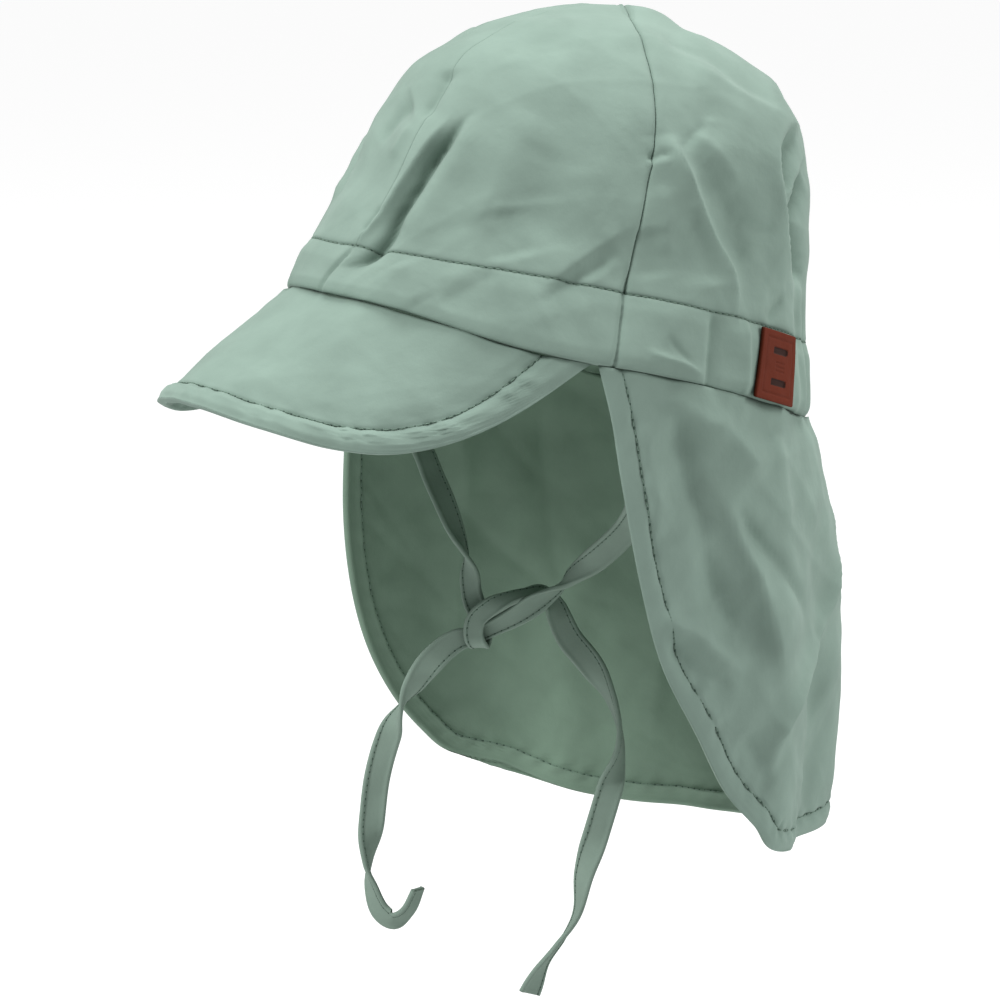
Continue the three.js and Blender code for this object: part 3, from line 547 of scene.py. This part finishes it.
def cloth_material(name, colour, weave=0.00055, roughness=0.88, sheen=0.1):
    """A matt woven material, a little uneven in colour, with painted shade darkening its folds and hollows.
    """
    material = bpy.data.materials.new(name)
    material.use_nodes = True
    tree = material.node_tree
    tree.nodes.clear()
    link = tree.links.new
    output = node(tree, "ShaderNodeOutputMaterial")
    shader = node(tree, "ShaderNodeBsdfPrincipled", Roughness=roughness)
    shader.inputs["Sheen Weight"].default_value = sheen
    shader.inputs["Sheen Roughness"].default_value = 0.5
    shader.inputs["Specular IOR Level"].default_value = 0.12
    place = node(tree, "ShaderNodeUVMap", uv_map="cloth")
    spot = node(tree, "ShaderNodeTexCoord")
    cloud = node(tree, "ShaderNodeTexNoise", Scale=70.0, Detail=6.0)
    link(spot.outputs["Object"], cloud.inputs["Vector"])
    tint = node(tree, "ShaderNodeValToRGB")
    tint.color_ramp.elements[0].position = 0.3
    tint.color_ramp.elements[1].position = 0.7
    tint.color_ramp.elements[0].color = (*[c * 0.93 for c in colour], 1)
    tint.color_ramp.elements[1].color = (*[min(c * 1.06, 1) for c in colour], 1)
    link(cloud.outputs["Fac"], tint.inputs["Fac"])
    # Painted shade: an Ambient Occlusion node darkens the base colour in folds, seams and hollows, down to
    # about 0.36-0.4 of it where they are deepest
    shade = node(tree, "ShaderNodeAmbientOcclusion", samples=6, Distance=0.016)
    painted_fold_shade = node(tree, "ShaderNodeValToRGB")
    painted_fold_shade.color_ramp.elements[0].position = 0.15
    painted_fold_shade.color_ramp.elements[0].color = (0.36, 0.4, 0.37, 1)
    painted_fold_shade.color_ramp.elements[1].position = 0.95
    link(shade.outputs["AO"], painted_fold_shade.inputs["Fac"])
    tone_and_painted_shade = node(tree, "ShaderNodeMix", data_type="RGBA", blend_type="MULTIPLY")
    tone_and_painted_shade.inputs[0].default_value = 1.0
    link(tint.outputs["Color"], tone_and_painted_shade.inputs[6])
    link(painted_fold_shade.outputs["Color"], tone_and_painted_shade.inputs[7])
    link(tone_and_painted_shade.outputs[2], shader.inputs["Base Color"])
    yarns = []
    for direction in ("X", "Y"):
        yarn = node(tree, "ShaderNodeTexWave", bands_direction=direction, Scale=1 / weave / WAVE_TURN)
        yarn.inputs["Distortion"].default_value = 0.6
        yarn.inputs["Detail"].default_value = 1.0
        link(place.outputs["UV"], yarn.inputs["Vector"])
        yarns.append(yarn)
    mixed = node(tree, "ShaderNodeMath", operation="MULTIPLY")
    link(yarns[0].outputs["Fac"], mixed.inputs[0])
    link(yarns[1].outputs["Fac"], mixed.inputs[1])
    slub = node(tree, "ShaderNodeTexNoise", Scale=900.0, Detail=2.0)
    link(place.outputs["UV"], slub.inputs["Vector"])
    total = node(tree, "ShaderNodeMath", operation="ADD")
    link(mixed.outputs[0], total.inputs[0])
    link(slub.outputs["Fac"], total.inputs[1])
    fine = node(tree, "ShaderNodeBump", Strength=0.15, Distance=0.0001)
    link(total.outputs[0], fine.inputs["Height"])
    wrinkle = node(tree, "ShaderNodeTexNoise", Scale=160.0, Detail=5.0, Roughness=0.6)
    link(spot.outputs["Object"], wrinkle.inputs["Vector"])
    soft = node(tree, "ShaderNodeBump", Strength=0.3, Distance=0.0006)
    link(wrinkle.outputs["Fac"], soft.inputs["Height"])
    link(fine.outputs["Normal"], soft.inputs["Normal"])
    link(soft.outputs["Normal"], shader.inputs["Normal"])
    link(shader.outputs[0], output.inputs["Surface"])
    return material


def linear(red, green, blue):
    """A colour given as the screen shows it, as light amounts."""
    shares = (red / 255, green / 255, blue / 255)
    return tuple(((share + 0.055) / 1.055) ** 2.4 for share in shares)


cloth = cloth_material("sage_cotton", linear(145, 168, 156))
# The cloth's inner face: a darker, greener copy of the cloth colour, painted shade tinted greener for light
# that passes through and bounces inside the thin cotton
inside_cloth_painted_shade = cloth_material("sage_cotton_inside_painted_shade", linear(136, 162, 143))
tape = cloth_material("sage_tape", linear(142, 163, 150))
thread = cloth_material("sage_thread", linear(128, 153, 138), roughness=0.7)
# Dark beads at the needle holes: painted shade for the shadow inside each hole
hole_shade = cloth_material("painted_needle_hole_shade", linear(80, 102, 90), roughness=1.0)
leather = cloth_material("tan_leather", linear(106, 42, 22), roughness=0.6, sheen=0.0)
mark = cloth_material("pressed_mark", linear(54, 26, 17), roughness=0.7)


def seam_turn(seam, share):
    """The turn at which one of the crown's seams runs, at shares of the way up."""
    front = column(CROWN["front_seam"], share)
    side = column(CROWN["side_seam"], share)
    turns = {"front": front, "left": side, "back": 180 + 0 * side, "right": 360 - side}
    turns["front_again"] = 360 + front
    return turns[seam]


def edge_crowded(count, reach):
    """Shares from 0 to 1 with extra lines close to both ends, the closest a share of reach away."""
    near = reach * np.array([0, 0.12, 0.28, 0.5, 0.75, 1.0])
    return np.concatenate([near, np.linspace(0, 1, count)[1:-1] * (1 - 2 * reach) + reach, 1 - near[::-1]])


def crown_panel(name, start, end):
    """One panel of the crown, from seam to seam and from the band to the top."""
    parts = edge_crowded(118, 0.02)
    rises = np.concatenate([np.linspace(0, 0.05, 6)[:-1], np.linspace(0.05, 1, 122)])
    low = share_at(CROWN["height"], BAND_HEIGHT / CROWN_HEIGHT)
    root_turn = seam_turn(start, low) + (seam_turn(end, low) - seam_turn(start, low)) * parts
    base = share_at(CROWN["height"], band_top(root_turn) / CROWN_HEIGHT)
    share = base[None, :] + (1 - base[None, :]) * rises[:, None]
    first, last = seam_turn(start, share), seam_turn(end, share)
    turn = first + (last - first) * parts[None, :]
    radius = column(CROWN["front"], share) * RING_WIDTH / 2
    seam_mm = np.minimum(parts, 1 - parts)[None, :] * np.radians(last - first) * radius
    outer, normal = dressed(turn, share, seam_mm)
    inner = outer - normal * CLOTH_WALL
    piece = mesh_piece(name + "_cloth", worn(outer), worn(inner), cloth, inside_cloth_painted_shade=inside_cloth_painted_shade)
    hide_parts(name)
    return piece


def band():
    """The cased edge round the head, rolled in below and gathered behind."""
    turns = np.linspace(0, 360, 721)[:-1]
    rises = np.linspace(0, 1, 34)
    share = share_at(CROWN["height"], rises[:, None] * band_top(turns)[None, :] / CROWN_HEIGHT)
    turn = np.broadcast_to(turns[None, :], share.shape)
    outer, normal = dressed(turn, share)
    roll = 0.9 * (1 - quarter_round(outer[..., 2] / 1.6))
    outer = outer - normal * roll[..., None]
    thick = BAND_WALL - 1.1 * (1 - smooth(rises, 0, 0.12))[:, None] * np.ones_like(roll)
    inner = outer - normal * thick[..., None]
    sag = band_sag(turn) * (1 - rises[:, None])
    outer[..., 2] -= sag
    inner[..., 2] -= sag
    piece = mesh_piece("band_cloth", worn(outer), worn(inner), cloth, ring=True, inside_cloth_painted_shade=inside_cloth_painted_shade)
    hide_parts("band")
    return piece


def peak_point(side, out):
    """A point of the peak: side runs from -1 to 1 between its corners, out from the band to the edge."""
    turn = side * PEAK_SPAN / 2
    root = wall(turn, np.zeros_like(turn)) * (1 - BAND_WALL / RING_WIDTH)
    reach = PEAK_REACH * out * np.maximum(1 - np.abs(side) ** PEAK_ROUND, 0) ** PEAK_TAPER
    slope = np.radians(PEAK_SLOPE + PEAK_SIDE_SLOPE * side * side)
    away = np.radians(turn) * (1 - PEAK_ARCH)
    drop, run = np.sin(slope) * reach, np.cos(slope) * reach
    height = -REST_GAP - band_sag(turn) - drop
    return np.stack([root[..., 0] + run * np.sin(away), root[..., 1] - run * np.cos(away), height], -1)


def grid_normals(grid):
    """The way that a grid of points faces at each of them."""
    across = np.gradient(grid, axis=1)
    up = np.gradient(grid, axis=0)
    return unit(np.cross(across, up))


def nearest(points, line):
    """Distance from each point to the nearest of a dense line of points, and how far along that is."""
    flat = points.reshape(-1, 3)
    run = run_along(line)
    best, where = np.empty(len(flat)), np.empty(len(flat))
    for start in range(0, len(flat), 4000):
        away = np.linalg.norm(flat[start : start + 4000, None] - line[None], axis=-1)
        at = away.argmin(1)
        best[start : start + 4000] = away[np.arange(len(at)), at]
        where[start : start + 4000] = run[at]
    return best.reshape(points.shape[:-1]), where.reshape(points.shape[:-1])


def peak():
    """The padded peak, with its puffed margin pulled into small creases by the stitching."""
    outs = np.concatenate([np.linspace(0, 0.8, 44)[:-1], np.linspace(0.8, 1, 30)])[::-1]
    sides = np.sin(np.linspace(-1, 1, 221) * math.pi / 2 * 0.985)
    grid = worn(peak_point(sides[None, :] + 0 * outs[:, None], outs[:, None] + 0 * sides[None, :]))
    normal = grid_normals(grid)
    edge = grid[0]
    away, along = nearest(grid, edge)
    away = away / (1 + 0.75 * smooth(np.abs(sides), 0.72, 0.97))[None, :]
    puff = 0.9 * smooth(away, 0, 2.5) * (1 - smooth(away, 4.5, PEAK_MARGIN))
    puff -= 0.32 * bell(away - PEAK_MARGIN, 0.6)
    puff += 0.5 * smooth(away, 8, 14) - 0.9
    pull = np.sin(along * 0.62 + away * 0.55 + 1.4 * np.sin(along * 0.23)) * bell(away - 5, 3)
    puff += 0.34 * pull * smooth(away, 0.4, 2)
    puff += ripple(grid, 0.3) + crumple(grid, 0.16)
    outer = grid + normal * puff[..., None]
    thick = PEAK_WALL * quarter_round(away / 2.2, 0.01)
    thick *= 1 - 0.35 * (1 - smooth(outs, 0, 0.06))[:, None]
    inner = outer - normal * thick[..., None]
    stitch_row("peak_stitch", *contour(outer, normal, away, along, PEAK_MARGIN))
    piece = mesh_piece("peak_cloth", outer, inner, cloth)
    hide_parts("peak")
    return piece


def flap_point(side, down):
    """A point of the flap: side runs from 1 to -1 between its free edges, down from the band to the hem."""
    place = share_at(FLAP_EDGE["drop"], down)
    inset = np.where(side > 0, column(FLAP_EDGE["left"], place), column(FLAP_EDGE["right"], place))
    turn = 180 - side * FLAP_SPAN / 2 * (1 - inset)
    angle = np.radians(turn)
    root = wall(turn, np.zeros_like(turn)) * (1 - BAND_WALL / RING_WIDTH)
    root[..., 2] = -REST_GAP - band_sag(turn)
    top = worn(root)
    behind = (1 - side * side) * np.maximum(FLAP_BACK_FULL - FLAP_BACK_LEAN * side, FLAP_BACK_LEAST)
    bottom = -FLAP_DROP - math.sin(WEAR_TILT) * RING_LENGTH / 4 - FLAP_BACK_DROP * behind
    out = FLAP_FLARE * np.sin(np.pi * np.minimum(down * FLAP_FLARE_RUN, 1))
    out = out + FLAP_WAVE * down * np.sin(3 * angle)
    out = out - 2 * gather_strength(turn) * (1 - smooth(down, 0, 0.06))
    for fold in FLAP_SWELLS:
        away = np.radians(turn - fold["turn"]) * RING_LENGTH / 2
        grown = smooth(down, fold["start"] * 0.5, fold["start"] + 0.3)
        out = out + fold["deep"] * grown * bell(away, fold["wide"])
    way = unit(top[..., :2]) * out[..., None]
    x = top[..., 0] + way[..., 0] - FLAP_SWAY * down
    return np.stack([x, top[..., 1] + way[..., 1], top[..., 2] + (bottom - top[..., 2]) * down], -1)


def neck_flap():
    """The flap with its hem all round, its folds and its rows of stitches on both faces."""
    downs = np.concatenate([np.linspace(0, 0.9, 120)[:-1], np.linspace(0.9, 1, 34)])[::-1]
    near_edge = np.linspace(1, 0.9, 24)
    middle = np.linspace(0.9, -0.9, 170)
    far_edge = np.linspace(-0.9, -1, 24)
    sides = np.concatenate([near_edge[:-1], middle[:-1], far_edge])
    grid = flap_point(sides[None, :] + 0 * downs[:, None], downs[:, None] + 0 * sides[None, :])
    normal = grid_normals(grid)
    border = np.concatenate([grid[::-1, 0], grid[0, 1:], grid[1:, -1]])
    away, along = nearest(grid, border)
    body = (ripple(grid, 0.45) + crumple(grid, 0.35)) * smooth(away, 2, 14)
    body += folded(grid, normal, fold_lines(FLAP_FOLDS, flap_point), FLAP_FOLD_STRENGTH) * smooth(away, 0, 9)
    hem = 0.5 * smooth(away, 0, 2.5) * (1 - smooth(away, HEM_WIDTH - 3, HEM_WIDTH))
    hem -= 0.35 * bell(away - HEM_WIDTH, 0.7)
    pucker = 0.35 + 0.65 * smooth(grid[..., 2], -110, -140)
    hem += 0.3 * pucker * np.sin(along * 0.8 + away * 0.5) * bell(away - HEM_WIDTH, 3.6) * smooth(away, 1, 4)
    outer = grid + normal * (body + hem)[..., None]
    thick = HEM_WALL + (CLOTH_WALL - HEM_WALL) * smooth(away, HEM_WIDTH - 0.6, HEM_WIDTH + 0.6)
    thick = thick * quarter_round(away / 1.4, 0.02)
    inner = outer - normal * thick[..., None]
    stitch_row("flap_stitch", *contour(outer, normal, away, along, HEM_WIDTH), dark=1.3)
    stitch_row("flap_stitch_inside", *contour(inner, -normal, away, along, HEM_WIDTH))
    piece = mesh_piece("neck_flap_cloth", outer, inner, cloth, inside_cloth_painted_shade=inside_cloth_painted_shade)
    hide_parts("neck_flap")
    return piece


def evened(line):
    """A line of points or directions with each set to the mean of the five around it."""
    padded = [np.pad(line[:, i], 2, mode="edge") for i in range(3)]
    return np.stack([np.convolve(values, np.ones(5) / 5, "valid") for values in padded], -1)


def contour(points, normals, away, along, level):
    """The line on a grid that lies at one distance from its border, as points and outward directions."""
    close = np.abs(away - level) < 0.5
    place, run = points[close], along[close]
    order = np.argsort(run)
    bins = np.round(run[order]).astype(int)
    kept, first = np.unique(bins, return_index=True)
    groups = np.split(order, first[1:])
    line = np.array([place[g].mean(0) for g in groups])
    facing = np.array([normals[close][g].mean(0) for g in groups])
    return evened(line), unit(evened(facing))


def stitch_row(name, line, facing, pitch=2.35, thick=0.4, closed=False, dark=1.0):
    """Sewing thread along a line on the cloth, with small dark beads of painted shade for the needle holes
    between its stitches.
    """
    if closed:
        line, facing = np.concatenate([line, line[:1]]), np.concatenate([facing, facing[:1]])
    run = run_along(line)
    middles = np.arange(pitch / 2, run[-1] - pitch / 2, pitch)
    round_turns = np.linspace(0, 2 * np.pi, 7)[:-1]

    def beads(offset, long, wide, tall, lift, material, label):
        centre = places_on(line, run, middles + offset)
        out = unit(places_on(facing, run, middles + offset))
        past = places_on(line, run, middles + offset + 0.3)
        ahead = unit(past - places_on(line, run, middles + offset - 0.3))
        side = np.cross(ahead, out)
        rings = np.linspace(-1, 1, 5)
        radii = np.sqrt(np.maximum(1 - np.abs(rings) ** 3, 0.004))
        points = []
        for ring, radius in zip(rings, radii):
            for angle in round_turns:
                points.append(
                    centre
                    + ahead * ring * long / 2
                    + side * (radius * math.cos(angle) * wide / 2)
                    + out * (radius * math.sin(angle) * tall / 2 + lift)
                )
        points = np.stack(points, 1)
        size = points.shape[1]
        index = np.arange(size).reshape(len(rings), len(round_turns))
        wrap = np.concatenate([index, index[:, :1]], 1)
        quads = np.stack([wrap[:-1, :-1], wrap[:-1, 1:], wrap[1:, 1:], wrap[1:, :-1]], -1).reshape(-1, 4)
        ends = [[index[0, i] for i in order] for order in ((3, 2, 1, 0), (5, 4, 3, 0))]
        ends += [[index[-1, i] for i in order] for order in ((0, 1, 2, 3), (0, 3, 4, 5))]
        quads = np.concatenate([quads, np.array(ends)])
        faces = (quads[None] + (np.arange(len(middles)) * size)[:, None, None]).reshape(-1, 4)
        flat = points.reshape(-1, 3) * METRES
        piece = finish_mesh(name + label, flat, faces, material, flat[:, :2])

    beads(0, pitch * 0.74, thick, thick, 0.06, thread, "_thread")
    # Dark beads between the stitches: painted shade for the shadow in each needle hole; dark scales their
    # size
    beads(pitch / 2, 0.8 * dark, 0.52 * dark, 0.26, 0.03, hole_shade, "_painted_hole_shade_beads")


def band_stitches():
    """The row of stitches where the crown meets the band."""
    turns = np.linspace(0, 360, 900)[:-1]
    share = share_at(CROWN["height"], band_top(turns) / CROWN_HEIGHT)
    points, normal = dressed(turns, share)
    stitch_row("band_stitch", worn(points), worn(normal), closed=True)


KNOT = np.array([0, -KNOT_FORWARD * RING_LENGTH / 2, -KNOT_DROP * FLAP_DROP])
KNOT_ACROSS = np.array([math.cos(KNOT_SIDE), math.sin(KNOT_SIDE), 0])
KNOT_NEAR = np.array([math.sin(KNOT_SIDE), -math.cos(KNOT_SIDE), 0])
UP = np.array([0, 0, 1.0])


def tie_place(row):
    """Where a tape's row lies in the part's frame."""
    kind, a, b, c = row[:4]
    if kind == "top":
        return np.array([a * RING_WIDTH / 2, b * RING_LENGTH / 2, c * FLAP_DROP])
    return KNOT + TIE_WIDTH * (a * KNOT_ACROSS + b * UP + c * KNOT_NEAR)


def route(rows, count):
    """Even places along a smooth curve through a tape's rows, and the share of the rows at each."""
    places = np.array([tie_place(row) for row in rows])
    spans = np.sqrt(np.linalg.norm(np.diff(places, axis=0), axis=-1))
    knots = np.concatenate([[0], np.cumsum(spans)])
    before, after = 2 * places[0] - places[1], 2 * places[-1] - places[-2]
    places = np.concatenate([[before], places, [after]])
    knots = np.concatenate([[-spans[0]], knots, [knots[-1] + spans[-1]]])
    samples, shares = [], []
    for i in range(1, len(places) - 2):
        t = np.linspace(knots[i], knots[i + 1], 25)[:-1, None]
        p, k = places[i - 1 : i + 3], knots[i - 1 : i + 3]
        a = [((k[j + 1] - t) * p[j] + (t - k[j]) * p[j + 1]) / (k[j + 1] - k[j]) for j in range(3)]
        b = [((k[j + 2] - t) * a[j] + (t - k[j]) * a[j + 1]) / (k[j + 2] - k[j]) for j in range(2)]
        samples.append(((k[2] - t) * b[0] + (t - k[1]) * b[1]) / (k[2] - k[1]))
        shares.append((i - 1 + np.linspace(0, 1, 25)[:-1]) / (len(places) - 3))
    line = np.concatenate([*samples, places[-2:-1]])
    share = np.concatenate([*shares, [1.0]])
    run = run_along(line)
    even = np.linspace(0, run[-1], count)
    return places_on(line, run, even), np.interp(even, run, share), even


def strap(name, rows):
    """A flat tape along its route, with thicker edges and a row of stitches on both faces."""
    centre, share, run = route(rows, 420)
    along = unit(np.gradient(centre, axis=0))
    wide = column([row[4] for row in rows], share)
    side = wide[:, :1] * KNOT_ACROSS + wide[:, 1:2] * UP + wide[:, 2:] * KNOT_NEAR
    side = unit(side - (side * along).sum(-1, keepdims=True) * along)
    face = np.cross(along, side)
    half = column([row[5] for row in rows], share) * TIE_WIDTH / 2
    places = np.linspace(-1, 1, 23)
    across = np.sin(places * math.pi / 2)
    lip = 1 + 0.5 * bell(np.abs(across) - 0.8, 0.14)
    round_off = np.sqrt(np.clip(1 - np.clip((np.abs(across) - 0.86) / 0.14, 0, 1) ** 2, 0.02, 1))
    half_thick = TIE_WALL / 2 * lip * round_off
    wobble = 0.25 * np.sin(run / 6.5) + 0.2 * np.sin(run / 3.7 + 1)
    if name == "tie_left":
        wobble = wobble + 1.7 * bell(share - 6 / 22, 0.05)
    bow = (1 - across**2)[None, :] * wobble[:, None]
    spread = side[:, None] * (across * half[:, None])[..., None]
    base = centre[:, None] + spread + face[:, None] * bow[..., None]
    top = base + face[:, None] * half_thick[None, :, None]
    low = base - face[:, None] * half_thick[None, :, None]
    edge = np.abs(across - (-0.7 if name == "tie_left" else 0.7)).argmin()
    stitch_row(name + "_stitch", top[:, edge], face, pitch=2.2, thick=0.26, dark=0.9)
    stitch_row(name + "_stitch_behind", low[:, edge], -face, pitch=2.2, thick=0.26, dark=0.9)
    map_across = np.broadcast_to((across * TIE_WIDTH / 2)[None], bow.shape)
    uv = np.stack([map_across, np.broadcast_to(run[:, None], bow.shape)], -1)
    piece = mesh_piece(name + "_tape", top[:, ::-1], low[:, ::-1], tape, uv=uv * METRES)
    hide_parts(name)
    return piece


def label():
    """The leather patch on the band, with a pressed frame line, two dark bars and three faint lines."""
    radius = (RING_LENGTH + RING_WIDTH) / 4
    half = math.degrees(LABEL_WIDTH / 2 / radius)
    low = (BAND_HEIGHT - LABEL_HEIGHT) / 4
    clearance = REST_GAP + 0.7
    rows = np.linspace(0, 1, 96)
    edge = np.minimum(rows, 1 - rows) * LABEL_HEIGHT
    corner = 0.5
    narrow = corner - np.sqrt(np.clip(corner**2 - (corner - np.clip(edge, 0, corner)) ** 2, 0, None))
    parts = np.linspace(-1, 1, 90)
    lean = LABEL_LEAN * (rows - 0.5)[:, None]
    turn = LABEL_ANGLE + lean + half * parts[None, :] * (1 - narrow / (LABEL_WIDTH / 2))[:, None]
    height = low + rows * LABEL_HEIGHT
    share = share_at(CROWN["height"], height / CROWN_HEIGHT)[:, None] + 0 * turn
    points = wall(turn, share)
    reach = np.linalg.norm(points[..., :2], axis=-1, keepdims=True)
    u = (turn - LABEL_ANGLE - lean) / half * LABEL_WIDTH / 2
    v = (rows[:, None] - 0.5) * LABEL_HEIGHT + 0 * u
    side_mm = np.minimum(LABEL_WIDTH / 2 - np.abs(u), LABEL_HEIGHT / 2 - np.abs(v))
    frame_line = np.maximum(np.abs(u) / 7.2, np.abs(v) / 8.0)
    relief = -0.22 * bell((frame_line - 1) * 7.6, 0.35)
    pressed = np.zeros_like(u)
    for bar in (-4.6, 4.6):
        inside = smooth(4.0 - np.abs(u), 0, 0.35) * smooth(1.1 - np.abs(v - bar), 0, 0.35)
        relief = relief - 0.5 * inside
        pressed = np.maximum(pressed, inside)
    for bar in (-1.2, 0, 1.2):
        relief = relief - 0.2 * bell(v - bar, 0.22) * smooth(2.6 - np.abs(u), 0, 0.4)
    relief = relief - 0.3 * (1 - smooth(side_mm, 0, 0.45)) + 0.06 * np.sin(u * 0.9 + 1) * np.sin(v * 0.7)
    scale = 1 + (clearance + LABEL_WALL + relief[..., None]) / reach
    outer = points * np.concatenate([scale, scale, np.ones_like(scale)], -1)
    scale = 1 + clearance / reach
    inner = points * np.concatenate([scale, scale, np.ones_like(scale)], -1)
    piece = mesh_piece("label_leather", worn(outer), worn(inner), leather)
    piece.data.materials.append(mark)
    marked = (pressed[:-1, :-1] + pressed[1:, 1:] > 0.9).ravel()
    kinds = np.zeros(len(piece.data.polygons), np.int32)
    kinds[: marked.size] = marked
    piece.data.polygons.foreach_set("material_index", kinds)
    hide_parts("label_patch")
    return piece


crown_panel("crown_front_left", "front", "left")
crown_panel("crown_back_left", "left", "back")
crown_panel("crown_back_right", "back", "right")
crown_panel("crown_front_right", "right", "front_again")
band()
band_stitches()
peak()
flap = neck_flap()
strap("tie_left", NEAR_TIE)
strap("tie_right", FAR_TIE)
label()


RIGHT = Vector((0.5736, 0.8192, 0))
BACK = Vector((0.8055, -0.5640, 0.1822)).normalized()
OVER = BACK.cross(RIGHT)


def studio():
    """A pale floor and an even pale world."""
    low, far = -FLOOR_BELOW * METRES, FLOOR_REACH * METRES
    corners = [(-far, -far, low), (far, -far, low), (far, far, low), (-far, far, low)]
    material = bpy.data.materials.new("pale_floor")
    material.use_nodes = True
    shader = material.node_tree.nodes["Principled BSDF"]
    shader.inputs["Base Color"].default_value = (0.25, 0.25, 0.25, 1)
    shader.inputs["Roughness"].default_value = 0.9
    shader.inputs["Emission Color"].default_value = (1, 1, 1, 1)
    rays = material.node_tree.nodes.new("ShaderNodeLightPath")
    glow = material.node_tree.nodes.new("ShaderNodeMath")
    glow.operation = "MULTIPLY_ADD"
    glow.inputs[1].default_value = FLOOR_GLOW_SEEN
    glow.inputs[2].default_value = FLOOR_GLOW
    material.node_tree.links.new(rays.outputs["Is Camera Ray"], glow.inputs[0])
    material.node_tree.links.new(glow.outputs[0], shader.inputs["Emission Strength"])
    mesh = bpy.data.meshes.new("floor")
    mesh.from_pydata(corners, [], [(0, 1, 2, 3)])
    mesh.materials.append(material)
    floor = bpy.data.objects.new("floor", mesh)
    bpy.context.scene.collection.objects.link(floor)
    world = bpy.data.worlds.new("studio")
    world.use_nodes = True
    world.node_tree.nodes["Background"].inputs["Color"].default_value = (1, 1, 1, 1)
    world.node_tree.nodes["Background"].inputs["Strength"].default_value = WORLD_GLOW
    bpy.context.scene.world = world
    bpy.context.scene.view_settings.view_transform = "Standard"


def lamp(name, across, over, nearer, size, power):
    """A soft round light; its place is in metres from the cap, as the camera sees right, up and near."""
    place = RIGHT * across + OVER * over + BACK * nearer
    data = bpy.data.lights.new(name, "AREA")
    data.shape = "DISK"
    data.size = size
    data.energy = power
    made = bpy.data.objects.new(name, data)
    made.location = place
    made.rotation_euler = (-place).to_track_quat("-Z", "Y").to_euler()
    bpy.context.scene.collection.objects.link(made)


def camera():
    """The camera at the photograph's angle, to the wearer's left and a little above."""
    target = RIGHT * (CAMERA_ASIDE * METRES) - OVER * (CAMERA_BELOW * METRES)
    data = bpy.data.cameras.new("camera")
    data.sensor_width = CAMERA_SENSOR
    data.lens = CAMERA_LENS
    made = bpy.data.objects.new("camera", data)
    turned = Matrix((RIGHT, OVER, BACK)).transposed().to_4x4()
    turned.translation = target + BACK * (CAMERA_AWAY * METRES)
    made.matrix_world = turned
    bpy.context.scene.collection.objects.link(made)
    bpy.context.scene.camera = made


studio()
lamp("key", -1.35, 1.2, 1.0, 0.5, 30)
lamp("top", 0.3, 1.7, -0.1, 0.8, 20)
lamp("side", 1.5, 0.7, 0.1, 0.7, 12)
camera()
